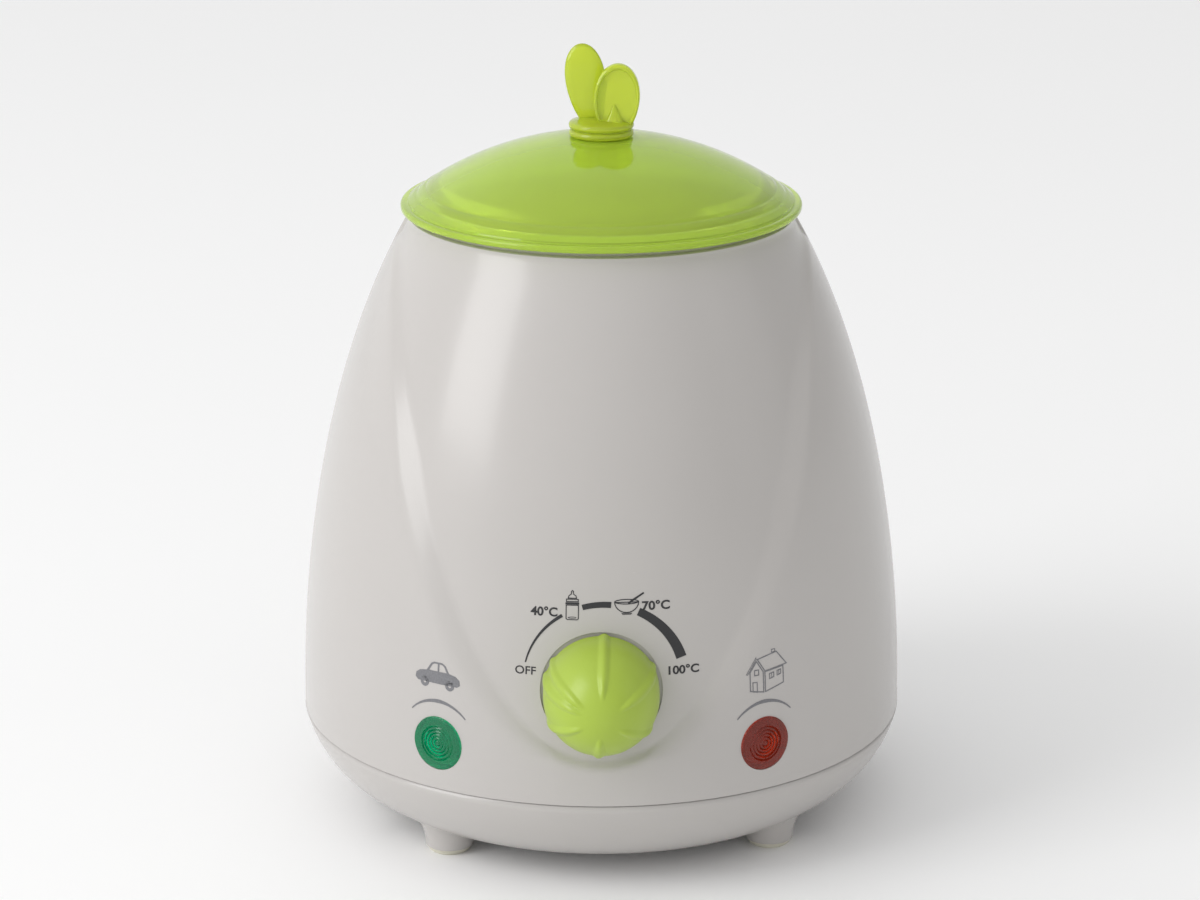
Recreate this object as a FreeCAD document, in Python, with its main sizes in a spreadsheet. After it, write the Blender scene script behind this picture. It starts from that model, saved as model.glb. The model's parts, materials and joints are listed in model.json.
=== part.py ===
import FreeCAD, Part
import Sketcher
import math
import os
import re
from FreeCAD import Vector

# Baby bottle warmer: an egg-shaped plastic housing on four legs, a heated water chamber,
# a lift-off domed lid with a two-leaf grip, and a front thermostat dial with two lamps.
# Millimetres. +Z is up, the front faces -Y, and the origin is on the table on the body's axis.

SIZES = {
    # housing
    "body_r": (71.0, "outer radius at the seam, the widest place"),
    "seam_z": (24.0, "height of the seam between base and shell"),
    "shell_top": (142.0, "height of the shell's rim"),
    "rim_width": (3.8, "width of the shell's flat rim"),
    "shell_wall": (2.8, "wall of the shell"),
    "rim_thickness": (2.5, "thickness of the shell's flat rim"),
    "seam_gap": (0.3, "shadow gap at the seam"),
    "panel_depth": (1.2, "how deep the front petal panel is let in"),
    "panel_half": (47.0, "half width of the petal panel"),
    "panel_low": (33.3, "height of the petal panel's lowest point"),
    "panel_wide_z": (136.0, "height at which the petal panel is widest"),
    # base
    "base_low": (4.4, "height of the base's flat underside"),
    "base_low_r": (51.0, "radius of the flat underside"),
    "base_bulge_r": (25.4, "radius of the base's round flank"),
    "base_wall": (2.2, "wall of the base"),
    "lip_height": (1.8, "locating lip above the seam"),
    "lip_wall": (1.2, "thickness of the locating lip"),
    "step_depth": (4.0, "depth of the ledge that carries the lip"),
    "step_slope": (0.45, "slope of that ledge into the base's wall"),
    "leg_ring": (52.5, "radius on which the legs stand"),
    "leg_turn": (48.0, "turn of the first leg from the X axis, degrees"),
    "leg_r": (5.5, "radius of a leg at its foot"),
    "leg_flare": (12.0, "radius of the leg's hollow flare"),
    "pad_height": (1.4, "height of a foot pad below the leg"),
    "pad_r": (4.8, "radius of a foot pad"),
    "pad_edge": (0.4, "bevel of a pad's lower edge"),
    "plug_r": (3.0, "radius of the pad's plug"),
    "plug_length": (3.0, "length of the pad's plug"),
    # case screws and their columns
    "column_gap": (3.4, "gap between a screw column and an ear of the chamber"),
    "column_r": (5.0, "radius of a screw column"),
    "column_split": (30.0, "height at which base posts meet shell columns"),
    "column_top": (46.0, "top of the shell columns"),
    "rib": (2.4, "thickness of the ribs that tie bosses to walls"),
    "case_head_r": (3.3, "radius of a case screw head"),
    "case_head_z": (20.0, "height of a case screw head's lower face"),
    "case_head_t": (2.4, "thickness of a case screw head"),
    "case_bite": (11.0, "length of case screw in the shell column"),
    "screw_r": (1.45, "radius of a small screw's shank"),
    "slot_long": (1.4, "length of a screw slot, in head radii"),
    "slot_wide": (0.8, "width of a screw slot"),
    "slot_deep": (0.4, "depth of a screw slot, in head heights"),
    "screw_gap": (0.05, "radial gap of a screw in its bore"),
    "pass_gap": (0.3, "radial gap of a screw in a through hole"),
    # water chamber
    "mouth_r": (38.0, "inner radius of the chamber at its mouth"),
    "chamber_draft": (2.0, "how much narrower the chamber is at its floor"),
    "chamber_wall": (1.8, "wall of the chamber"),
    "chamber_floor": (44.0, "height of the chamber's floor"),
    "floor_t": (2.0, "thickness of the chamber's floor"),
    "collar_gap": (0.6, "gap between chamber and shell rim"),
    "lip_width": (4.8, "width of the chamber's lip"),
    "lip_t": (1.2, "thickness of the chamber's lip"),
    "floor_ledge": (6.0, "width of the ledge round the hole in the chamber's floor"),
    "gasket_t": (1.5, "thickness of the floor gasket"),
    "gasket_width": (4.6, "width of the floor gasket"),
    "plate_edge": (4.8, "how far the heating plate's flange reaches past the hole"),
    "plate_t": (3.0, "thickness of the heating plate's flange"),
    "plate_drop": (0.2, "drop of the plate's face below the chamber's floor"),
    "plate_bevel": (0.6, "bevel of the plate's raised centre"),
    "plate_gap": (0.6, "gap around the heating plate's raised centre"),
    "ear_reach": (7.0, "distance from the chamber's inner wall to an ear's axis"),
    "ear_r": (3.6, "radius of an ear"),
    "ear_height": (10.5, "height of an ear"),
    "clamp_inset": (1.8, "how far the clamp ring lies inside the plate's edge"),
    "clamp_width": (8.5, "width of the clamp ring"),
    "clamp_t": (1.4, "thickness of the clamp ring"),
    "clamp_head_r": (3.0, "radius of a clamp screw head"),
    "clamp_head_t": (2.0, "thickness of a clamp screw head"),
    "clamp_bite": (8.5, "length of clamp screw in the ear"),
    # heaters
    "heater_inset": (9.5, "how far a heater's end lies inside the clamp ring"),
    "heater_y": (13.0, "width of a heater block"),
    "heater_z": (5.5, "height of a heater block"),
    "heater_apart": (17.0, "distance between the two heaters"),
    "fuse_r": (1.5, "radius of the thermal fuse"),
    "fuse_length": (12.0, "length of the thermal fuse"),
    "fuse_gap": (0.3, "gap between the fuse and the plate"),
    "clip_x": (5.0, "length of the fuse clip"),
    "clip_y": (3.6, "width of the fuse clip"),
    "clip_wall": (0.9, "wall of the clip below the fuse"),
    # control knob
    "knob_z": (50.0, "height of the knob's axis"),
    "well_depth": (3.5, "depth of the knob's well below the shell's face"),
    "well_gap": (0.7, "gap around the knob in its well"),
    "well_wall": (1.8, "wall of the knob's well"),
    "knob_gap": (0.5, "gap between the knob and the well's floor"),
    "knob_r": (12.8, "radius of the knob's skirt"),
    "skirt": (3.5, "length of the knob's straight skirt"),
    "dome_extra": (2.2, "how much taller the knob's dome is than its radius"),
    "knob_wall": (2.2, "wall of the knob"),
    "grip_rise": (0.45, "how far the knob's ribs stand out"),
    "grip_width": (1.5, "width of a knob rib"),
    "grip_in": (4.0, "radius at which a knob rib starts"),
    "grip_turn": (87.0, "angle of the first knob rib, degrees"),
    "pointer_turn": (164.0, "angle of the pointer rib at rest, degrees"),
    "hub_wall": (2.4, "wall of the knob's hub"),
    "socket_depth": (9.0, "depth of the knob's shaft socket"),
    "ring_t": (0.8, "thickness of the spring ring on the hub"),
    "ring_length": (3.0, "length of the spring ring"),
    "ring_slot": (2.0, "slot of the spring ring"),
    # thermostat
    "spindle_r": (3.0, "radius of the thermostat spindle"),
    "spindle_flat": (0.8, "depth of the spindle's flat"),
    "spindle_gap": (0.05, "running clearance around the spindle"),
    "socket_gap": (0.02, "gap between spindle and knob socket"),
    "bracket_back": (4.2, "distance from the well to the bracket plate"),
    "bracket_x": (44.0, "length of the bracket plate"),
    "bracket_z": (14.0, "height of the bracket plate"),
    "bracket_t": (1.0, "thickness of the bracket plate"),
    "bracket_holes": (35.0, "distance between the bracket screws"),
    "bracket_boss_r": (3.4, "radius of a bracket boss"),
    "bracket_bite": (5.0, "length of bracket screw in its boss"),
    "bushing_wall": (2.0, "wall of the thermostat's bushing"),
    "bushing_gap": (0.2, "gap between bushing and bracket plate"),
    "bushing_length": (3.4, "length of bushing in front of the block"),
    "block_x": (22.0, "width of the thermostat block"),
    "block_y": (11.0, "depth of the thermostat block"),
    "block_z": (20.0, "height of the thermostat block"),
    "collar_step": (1.9, "height of the spindle's rear collar"),
    "collar_t": (2.6, "thickness of the spindle's rear collar"),
    "collar_play": (0.15, "end play of the collar"),
    "tab_x": (4.0, "width of a thermostat tab"),
    "tab_y": (0.8, "thickness of a thermostat tab"),
    "tab_z": (5.0, "length of a thermostat tab"),
    "tab_apart": (12.0, "distance between the thermostat tabs"),
    # indicator lamps
    "lamp_turn": (31.1, "turn of each lamp from the front, degrees"),
    "lamp_rise": (2.2, "height of a lens seat boss above the seam"),
    "lens_r": (6.2, "radius of a lens"),
    "lens_gap": (0.05, "gap around a lens"),
    "lens_rise": (0.35, "how far a lens stands proud"),
    "lens_face_t": (1.6, "thickness of a lens at its face"),
    "lens_wall": (1.1, "wall of a lens cup"),
    "flange_reach": (1.4, "how far a lens flange stands out"),
    "flange_t": (1.2, "thickness of a lens flange"),
    "seat_depth": (4.3, "distance from the shell's face to the lens seat"),
    "seat_reach": (2.4, "how far a lens seat boss reaches past the lens"),
    "holder_reach": (1.2, "how far a lamp holder reaches past the lens"),
    "holder_wall": (1.6, "wall of a lamp holder"),
    "holder_length": (9.0, "length of a lamp holder"),
    "bulb_r": (2.5, "radius of a lamp"),
    "bulb_length": (8.6, "length of a lamp"),
    # rear inlets
    "bay_depth": (8.0, "depth of the rear bay below the widest radius"),
    "bay_low": (29.0, "height of the rear bay's lower ledge"),
    "bay_high": (43.0, "height of the rear bay's upper ledge"),
    "bay_half": (32.0, "half width of the rear bay's wall"),
    "bay_wall": (2.2, "wall of the rear bay"),
    "mains_x": (-18.0, "X of the mains inlet"),
    "inlet_x": (20.0, "width of the mains inlet's body"),
    "inlet_z": (10.6, "height of the mains inlet's body"),
    "inlet_rim": (1.0, "how far an inlet's flange stands out"),
    "inlet_rim_t": (1.2, "thickness of an inlet's flange"),
    "inlet_deep": (13.0, "depth of an inlet's body behind the bay"),
    "inlet_hollow_x": (15.6, "width of the mains inlet's hollow"),
    "inlet_hollow_z": (8.0, "height of the mains inlet's hollow"),
    "inlet_back": (3.0, "back wall of an inlet"),
    "inlet_gap": (0.1, "gap around an inlet in the shell"),
    "pin_r": (1.2, "radius of a mains pin"),
    "pin_apart": (8.6, "distance between the mains pins"),
    "pin_tail": (3.0, "length of a pin behind its inlet"),
    "dc_x": (18.0, "X of the low-voltage inlet"),
    "dc_r": (5.5, "radius of the low-voltage inlet's body"),
    "dc_bore_r": (3.2, "radius of the low-voltage inlet's bore"),
    "dc_pin_r": (1.0, "radius of the low-voltage pin"),
    # lid
    "seat_gap": (0.1, "gap between lid and chamber lip"),
    "lid_overhang": (2.0, "how far the lid's rim overhangs the shell's rim"),
    "lid_rim_t": (1.6, "height of the lid's rim"),
    "lid_shelf": (1.8, "width of the rim outside the dome's step"),
    "lid_edge": (0.5, "bevel of the lid's edges"),
    "lid_step": (0.5, "height of that step"),
    "dome_rise": (14.6, "height of the dome above its step"),
    "lid_wall": (2.0, "wall of the lid"),
    "spigot_gap": (0.6, "gap between the lid's spigot and the mouth"),
    "spigot_wall": (1.6, "wall of the spigot"),
    "spigot_length": (4.0, "length of the spigot below the lid's seat"),
    # grip
    "stem_r": (3.8, "radius of the grip's stem"),
    "stem_gap": (0.05, "gap around the stem"),
    "stem_length": (8.0, "length of the stem below the dome"),
    "stem_ring_t": (0.7, "thickness of the ring that holds the stem"),
    "stem_ring_drop": (0.3, "gap between that ring's groove and the dome"),
    "stem_ring_play": (0.05, "play of that ring in its groove"),
    "stem_ring_step": (1.4, "how far that ring stands out from the stem"),
    "stem_neck": (0.6, "depth of the ring's groove"),
    "grip_r": (7.6, "radius of the grip's collar"),
    "grip_ring": (1.75, "height of each of the collar's two rings"),
    "grip_gap": (0.05, "gap between the collar and the dome"),
    "grip_sink": (0.6, "how far the collar's foot lies below the dome's top"),
    "ring_bulge": (0.45, "how far the collar's rings bulge from their seams"),
    "ring_round": (1.1, "radius of a collar ring's edge"),
    "crown_in": (1.5, "width of the collar's rounded crown"),
    "crown_rise": (0.7, "height of the collar's rounded crown"),
    "crown_round": (2.4, "radius of the collar's rounded crown"),
    "left_leaf_x": (-3.4, "X of the left leaf's middle"),
    "left_leaf_y": (1.7, "Y of the left leaf's middle"),
    "left_leaf_z": (11.2, "height of the left leaf's middle above the dome"),
    "left_leaf_w": (4.7, "half width of the left leaf"),
    "left_leaf_l": (9.8, "half length of the left leaf"),
    "left_leaf_tilt": (-8.0, "tilt of the left leaf, degrees"),
    "right_leaf_x": (3.5, "X of the right leaf's middle"),
    "right_leaf_y": (-2.0, "Y of the right leaf's middle"),
    "right_leaf_z": (8.1, "height of the right leaf's middle above the dome"),
    "right_leaf_w": (5.4, "half width of the right leaf"),
    "right_leaf_l": (8.6, "half length of the right leaf"),
    "right_leaf_tilt": (4.0, "tilt of the right leaf, degrees"),
    "leaf_half": (1.25, "half thickness of a leaf"),
    # wiring
    "wire_r": (0.9, "radius of an insulated wire"),
    "wire_bend": (5.0, "radius of a wire's bends"),
}
FEET = 4
SCREWS = 3
KNOB_RIBS = 6

doc = FreeCAD.newDocument("BottleWarmer")
sheet = doc.addObject("Spreadsheet::Sheet", "Sizes")
for row, (alias, (size, note)) in enumerate(SIZES.items(), start=1):
    sheet.set(f"A{row}", alias)
    sheet.set(f"B{row}", str(size))
    sheet.set(f"C{row}", note)
    sheet.setAlias(f"B{row}", alias)
doc.recompute()

ALIAS = re.compile(r"(?<![\w.])(" + "|".join(SIZES) + r")(?!\w)")


def formula(text):
    """The expression in which each alias is read from the sheet."""
    return ALIAS.sub(r"Sizes.\1", str(text))


def value(text):
    """The present value of a formula."""
    result = sheet.evalExpression(formula(text))
    return float(getattr(result, "Value", result))


# ---------------------------------------------------------------- derived places

TOP_R = "(mouth_r + chamber_wall + collar_gap + rim_width)"
CHAMBER_LOW_R = "(mouth_r - chamber_draft)"
FLOOR_HOLE = f"({CHAMBER_LOW_R} - floor_ledge)"
PLATE_R = f"({FLOOR_HOLE} + plate_edge)"
EAR_RING = f"({CHAMBER_LOW_R} + ear_reach)"
CLAMP_OUT = f"({PLATE_R} - clamp_inset)"
CLAMP_IN = f"({CLAMP_OUT} - clamp_width)"
HEATER_X = f"(2 * ({CLAMP_IN} - heater_inset))"
COLUMN_RING = f"({EAR_RING} + ear_r + column_gap + column_r)"
ARCH = f"((shell_top - seam_z) / sqrt(1 - ({TOP_R} / body_r)^2))"


def shell_radius(height):
    """Outer radius of the shell at a height."""
    return f"(body_r * sqrt(1 - (({height} - seam_z) / {ARCH})^2))"


LIP_TOP = "(shell_top + lip_t)"
LID_R = f"({TOP_R} + lid_overhang)"
LID_STEP_R = f"({LID_R} - lid_shelf)"
LID_SEAT = f"({LIP_TOP} + seat_gap)"
DOME_FOOT = f"({LID_SEAT} + lid_rim_t + lid_step)"
LID_TOP = f"({DOME_FOOT} + dome_rise)"
DOME_R = f"(({LID_STEP_R}^2 + dome_rise^2) / (2 * dome_rise))"
SPIGOT_R = "(mouth_r - spigot_gap)"
CHAMBER_UNDER = "(chamber_floor - floor_t)"
FLANGE_TOP = f"({CHAMBER_UNDER} - gasket_t)"
PLATE_UNDER = f"({FLANGE_TOP} - plate_t)"
WELL_FACE = f"({shell_radius('knob_z')} - well_depth)"
WELL_BACK = f"({WELL_FACE} - well_wall)"
BRACKET_FRONT = f"({WELL_BACK} - bracket_back)"
BLOCK_FRONT = f"({BRACKET_FRONT} - bracket_t)"
BLOCK_BACK = f"({BLOCK_FRONT} - block_y)"
COLLAR_FRONT = f"({BLOCK_BACK} + collar_t + collar_play)"
WELL_R = "(knob_r + well_gap)"
HUB_R = "(spindle_r + hub_wall)"
BUSHING_R = "(spindle_r + bushing_wall)"
COLLAR_R = "(spindle_r + collar_step)"
SPINDLE_FLAT = "(spindle_r - spindle_flat)"
KNOB_FOOT = f"({WELL_FACE} + knob_gap)"
KNOB_SHOULDER = f"({KNOB_FOOT} + skirt)"
KNOB_DOME = "(knob_r + dome_extra)"
FLANGE_R = "(lens_r + flange_reach)"
SEAT_R = "(lens_r + seat_reach)"
HOLDER_R = "(lens_r + holder_reach)"
LAMP_Z = f"(seam_z + {SEAT_R} + lamp_rise)"
LENS_SEAT = f"({shell_radius(LAMP_Z)} - seat_depth)"
BAY_FACE = "(body_r - bay_depth)"
BAY_MID = "((bay_low + bay_high) / 2)"


# ---------------------------------------------------------------- shaping tools

def bind(shape, **sizes):
    """Tie properties of an object to formulas."""
    for name, text in sizes.items():
        shape.setExpression(name, formula(text))
    return shape


def place(shape, x=0, y=0, z=0, turn="rotation(vector(0; 0; 1); 0)"):
    """Put an object at a formula's place, with an optional turn."""
    where = f"placement(vector({x}; {y}; {z}); {turn})"
    shape.setExpression("Placement", formula(where))
    return shape


def facing(azimuth):
    """Turn that points local Z level and outward, azimuth degrees round from the front."""
    return f"rotation(vector(0; 0; 1); {azimuth}) * rotation(vector(1; 0; 0); 90)"


def outward(shape, azimuth, distance, height):
    """Put an object on a level outward axis at a distance from the body's axis."""
    return place(shape, f"sin({azimuth}) * ({distance})", f"-cos({azimuth}) * ({distance})", height,
                 facing(azimuth))


def cylinder(name, radius, height):
    return bind(doc.addObject("Part::Cylinder", name), Radius=radius, Height=height)


def box(name, length, width, height):
    return bind(doc.addObject("Part::Box", name), Length=length, Width=width, Height=height)


def centred_box(name, length, width, height, x, y, z):
    """A box whose middle is at x, y and whose underside is at z."""
    made = box(name, length, width, height)
    return place(made, f"{x} - ({length}) / 2", f"{y} - ({width}) / 2", z)


def fuse(name, pieces):
    made = doc.addObject("Part::MultiFuse", name)
    made.Shapes = pieces
    return made


def cut(name, base, tool):
    made = doc.addObject("Part::Cut", name)
    made.Base = base
    made.Tool = tool
    return made


def common(name, base, tool):
    made = doc.addObject("Part::Common", name)
    made.Base = base
    made.Tool = tool
    return made


def group(name, pieces):
    made = doc.addObject("Part::Compound", name)
    made.Links = pieces
    return made


def around(count, first=90.0):
    """Angles of equally spaced places round the body."""
    return [first + 360.0 * k / count for k in range(count)]


def on_ring(shape, ring, angle, height, turn=None):
    """Put an object on a ring about the body's axis."""
    spin = turn or "rotation(vector(0; 0; 1); 0)"
    return place(shape, f"{ring} * cos({angle})", f"{ring} * sin({angle})", height, spin)


def origin_plane(body, role):
    return next(f for f in body.Origin.OriginFeatures if f.Role == role)


def same(point, other):
    return point.distanceToPoint(other) < 1e-6


def edge_geometry(start, end, shape):
    """The sketch curve from start to end: a line, or an arc or ellipse given by shape."""
    if shape is None:
        return Part.LineSegment(start, end)
    if shape[0] == "ellipse":
        centre = Vector(0, value(shape[1]), 0)
        wide = max(start.x, end.x)
        far = end if start.x >= end.x else start
        tall = abs(far.y - centre.y) / math.sqrt(1 - (far.x / wide) ** 2)
        # the major axis is the longer one, upright here
        ellipse = Part.Ellipse(centre + Vector(0, tall, 0), centre + Vector(wide, 0, 0), centre)
        ends = sorted((ellipse.parameter(start), ellipse.parameter(end)))
        return Part.ArcOfEllipse(ellipse, ends[0] if ends[1] - ends[0] < math.pi else ends[1],
                                 ends[1] if ends[1] - ends[0] < math.pi else ends[0])
    radius, side = value(shape[1]), shape[2]
    chord = end - start
    across = Vector(-chord.y, chord.x, 0).normalize() * side
    sag = radius - math.sqrt(radius ** 2 - (chord.Length / 2) ** 2)
    return Part.Arc(start, (start + end) * 0.5 + across * sag, end)


def outline(body, name, corners, role="XZ_Plane"):
    """Closed sketch through corners, each (x, z) or (x, z, shape of the edge that ends there).

    A shape is ("arc", radius, side), with side 1 for a bulge to the left of the way round, or
    ("ellipse", height of its centre), with its centre on the sketch's upright axis.
    """
    sketch = body.newObject("Sketcher::SketchObject", name)
    sketch.AttachmentSupport = [(origin_plane(body, role), "")]
    sketch.MapMode = "FlatFace"
    points = [Vector(value(c[0]), value(c[1]), 0) for c in corners]
    ends = []
    for k, corner in enumerate(corners):
        start, end = points[k - 1], points[k]
        shape = corner[2] if len(corner) > 2 else None
        edge = sketch.addGeometry(edge_geometry(start, end, shape), False)
        first = 1 if same(sketch.getPoint(edge, 1), start) else 2
        ends.append((edge, first, 3 - first))
        if shape is None:
            continue
        if shape[0] == "arc":
            radius = sketch.addConstraint(Sketcher.Constraint("Radius", edge, value(shape[1])))
            sketch.setExpression(f"Constraints[{radius}]", formula(shape[1]))
            continue
        centre = sketch.getPoint(edge, 3)
        half = Vector(0, sketch.Geometry[edge].MajorRadius, 0)
        axis = sketch.addGeometry(Part.LineSegment(centre - half, centre + half), True)
        sketch.addConstraint(Sketcher.Constraint("InternalAlignment:EllipseMajorDiameter", axis, edge))
        sketch.addConstraint(Sketcher.Constraint("Vertical", axis))
        sketch.addConstraint(Sketcher.Constraint("PointOnObject", edge, 3, -2))
        level = sketch.addConstraint(Sketcher.Constraint("DistanceY", -1, 1, edge, 3, centre.y))
        sketch.setExpression(f"Constraints[{level}]", formula(shape[1]))
    for k, corner in enumerate(corners):
        edge, _, last = ends[k]
        after, first, _ = ends[(k + 1) % len(ends)]
        sketch.addConstraint(Sketcher.Constraint("Coincident", edge, last, after, first))
        for kind, text, number, axis in (("DistanceX", corner[0], points[k].x, -2),
                                         ("DistanceY", corner[1], points[k].y, -1)):
            if text == 0:
                sketch.addConstraint(Sketcher.Constraint("PointOnObject", edge, last, axis))
                continue
            size = sketch.addConstraint(Sketcher.Constraint(kind, -1, 1, edge, last, number))
            sketch.setExpression(f"Constraints[{size}]", formula(text))
    if sketch.solve() != 0:
        raise ValueError(f"{name} doesn't solve")
    return sketch


def turned(name, corners):
    """A body made by revolving an outline about the upright axis."""
    body = doc.addObject("PartDesign::Body", name)
    sketch = outline(body, name + "_outline", corners)
    spin = body.newObject("PartDesign::Revolution", name + "_turn")
    spin.Profile = sketch
    spin.ReferenceAxis = (sketch, ["V_Axis"])
    spin.Angle = 360.0
    doc.recompute()
    return body


def wire_solid(points):
    """A round wire along straight runs joined by tangent arcs."""
    radius, bend = value("wire_r"), value("wire_bend")
    corners = [Vector(*[value(c) for c in point]) for point in points]
    edges = []
    start = corners[0]
    for before, corner, after in zip(corners, corners[1:], corners[2:]):
        back = (before - corner).normalize()
        ahead = (after - corner).normalize()
        half = back.getAngle(ahead) / 2
        reach = bend / math.tan(half)
        enter = corner + back * reach
        leave = corner + ahead * reach
        middle = (back + ahead).normalize() * (bend / math.sin(half) - bend)
        edges.append(Part.LineSegment(start, enter).toShape())
        edges.append(Part.Arc(enter, corner + middle, leave).toShape())
        start = leave
    edges.append(Part.LineSegment(start, corners[-1]).toShape())
    path = Part.Wire(edges)
    section = Part.Wire(Part.Circle(corners[0], corners[1] - corners[0], radius).toShape())
    return path.makePipeShell([section], True, False)


# ---------------------------------------------------------------- sub-parts

NODES = {}


def node(name, shape):
    """Name a finished sub-part, which also names its file."""
    shape.Label = name
    NODES[name] = shape


def base_outline(inset):
    """The base's round flank from its flat underside to the seam, moved in by a wall."""
    low = f"base_low + {inset}"
    return [
        (0, low),
        (f"base_low_r - {inset} * 0.2", low),
        (f"body_r - {inset}", "seam_z - seam_gap", ("arc", f"base_bulge_r - {inset}", -1)),
    ]


def base_cover():
    """Bowl-shaped base with a locating lip, four flared legs and three screw posts."""
    hull = turned("base_hull", base_outline("0") + [(0, "seam_z - seam_gap")])
    hollow = turned("base_hollow", base_outline("base_wall") + [(0, "seam_z - seam_gap")])
    lip_out = f"({shell_radius('seam_z + lip_height')} - shell_wall - seam_gap)"
    lip_root = "(seam_z - seam_gap - step_depth)"
    lip = turned("base_lip", [
        (f"{lip_out} - lip_wall", lip_root),
        (lip_out, lip_root),
        (lip_out, "seam_z + lip_height"),
        (f"{lip_out} - lip_wall", "seam_z + lip_height"),
    ])
    step = turned("base_step", [
        (f"{lip_out} - lip_wall", lip_root),
        ("body_r - base_wall - step_slope", lip_root),
        ("body_r - base_wall + step_slope", "seam_z - seam_gap"),
        (f"{lip_out} - lip_wall", "seam_z - seam_gap"),
    ])
    leg_profile = [
        (0, "pad_height"),
        ("leg_r", "pad_height"),
        ("leg_r + leg_flare * (1 - cos(45))", "pad_height + leg_flare * sin(45)", ("arc", "leg_flare", 1)),
        (0, "pad_height + leg_flare * sin(45)"),
    ]
    legs = []
    holes = []
    for k in range(FEET):
        turn = f"(leg_turn + {360.0 / FEET * k})"
        leg = turned(f"leg_{k + 1}", leg_profile)
        legs.append(on_ring(leg, "leg_ring", turn, 0))
        hole = cylinder(f"leg_hole_{k + 1}", "plug_r + screw_gap", "plug_length + 0.2")
        holes.append(on_ring(hole, "leg_ring", turn, "pad_height"))
    bowl = cut("base_bowl", fuse("base_legs", [hull] + legs), hollow)
    posts = []
    for k, angle in enumerate(around(SCREWS)):
        post = cylinder(f"base_post_{k + 1}", "column_r", "column_split - base_low")
        posts.append(on_ring(post, COLUMN_RING, angle, "base_low"))
        bore = cylinder(f"base_bore_{k + 1}", "screw_r + pass_gap", "column_split")
        holes.append(on_ring(bore, COLUMN_RING, angle, 0))
        recess = cylinder(f"base_recess_{k + 1}", "case_head_r + pass_gap", "case_head_z + case_head_t")
        holes.append(on_ring(recess, COLUMN_RING, angle, 0))
    above = cylinder("base_above", "body_r - shell_wall - lip_wall - 2", "column_split")
    place(above, 0, 0, "seam_z - seam_gap")
    trimmed = common("base_posts", fuse("base_post_set", posts), fuse("base_reach", [hull, above]))
    made = fuse("base_moulding", [bowl, lip, step, trimmed])
    node("base_cover", cut("base_bored", made, fuse("base_holes", holes)))


def foot_pads():
    """Four soft pads, each with a plug pressed up into its leg."""
    pads = []
    for k in range(FEET):
        pad = turned(f"pad_{k + 1}", [
            (0, 0),
            ("pad_r - pad_edge", 0),
            ("pad_r", "pad_edge"),
            ("pad_r", "pad_height"),
            ("plug_r", "pad_height"),
            ("plug_r", "pad_height + plug_length"),
            (0, "pad_height + plug_length"),
        ])
        pads.append(on_ring(pad, "leg_ring", f"(leg_turn + {360.0 / FEET * k})", 0))
    node("foot_pads", group("pads", pads))


def screw_set(name, ring, head_r, head_t, head_z, length):
    """Upright screws on a ring, heads down."""
    screws = []
    for k, angle in enumerate(around(SCREWS)):
        head = on_ring(cylinder(f"{name}_head_{k + 1}", head_r, head_t), ring, angle, head_z)
        slot = box(f"{name}_slot_{k + 1}", f"{head_r} * slot_long", "slot_wide", f"{head_t} * slot_deep")
        place(slot, f"{ring} * cos({angle}) - {head_r} * slot_long / 2",
              f"{ring} * sin({angle}) - slot_wide / 2", head_z)
        shank = cylinder(f"{name}_shank_{k + 1}", "screw_r", f"{head_t} + {length}")
        on_ring(shank, ring, angle, head_z)
        whole = fuse(f"{name}_whole_{k + 1}", [head, shank])
        screws.append(cut(f"{name}_{k + 1}", whole, slot))
    node(name, group(name + "_set", screws))


def hull_with_panel():
    """Solid outer form of the shell, with the petal panel let into its front."""
    form = turned("shell_form", [
        (0, "seam_z"),
        ("body_r", "seam_z"),
        (TOP_R, "shell_top", ("ellipse", "seam_z")),
        (0, "shell_top"),
    ])
    inner = turned("panel_form", [
        (0, "seam_z"),
        ("body_r - panel_depth", "seam_z"),
        (TOP_R, "shell_top", ("ellipse", "seam_z")),
        (0, "shell_top"),
    ])
    petal = doc.addObject("Part::Ellipse", "petal_outline")
    bind(petal, MajorRadius="panel_wide_z - panel_low", MinorRadius="panel_half")
    place(petal, 0, 0, "panel_wide_z", "rotation(vector(1; 0; 0); 90) * rotation(vector(0; 0; 1); 90)")
    prism = doc.addObject("Part::Extrusion", "petal_prism")
    prism.Base = petal
    prism.DirMode = "Custom"
    prism.Dir = Vector(0, -1, 0)
    prism.Solid = True
    bind(prism, LengthFwd="body_r * 1.2")
    outside = cut("petal_outside", prism, inner)
    return cut("shell_hull", form, outside)


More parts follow.
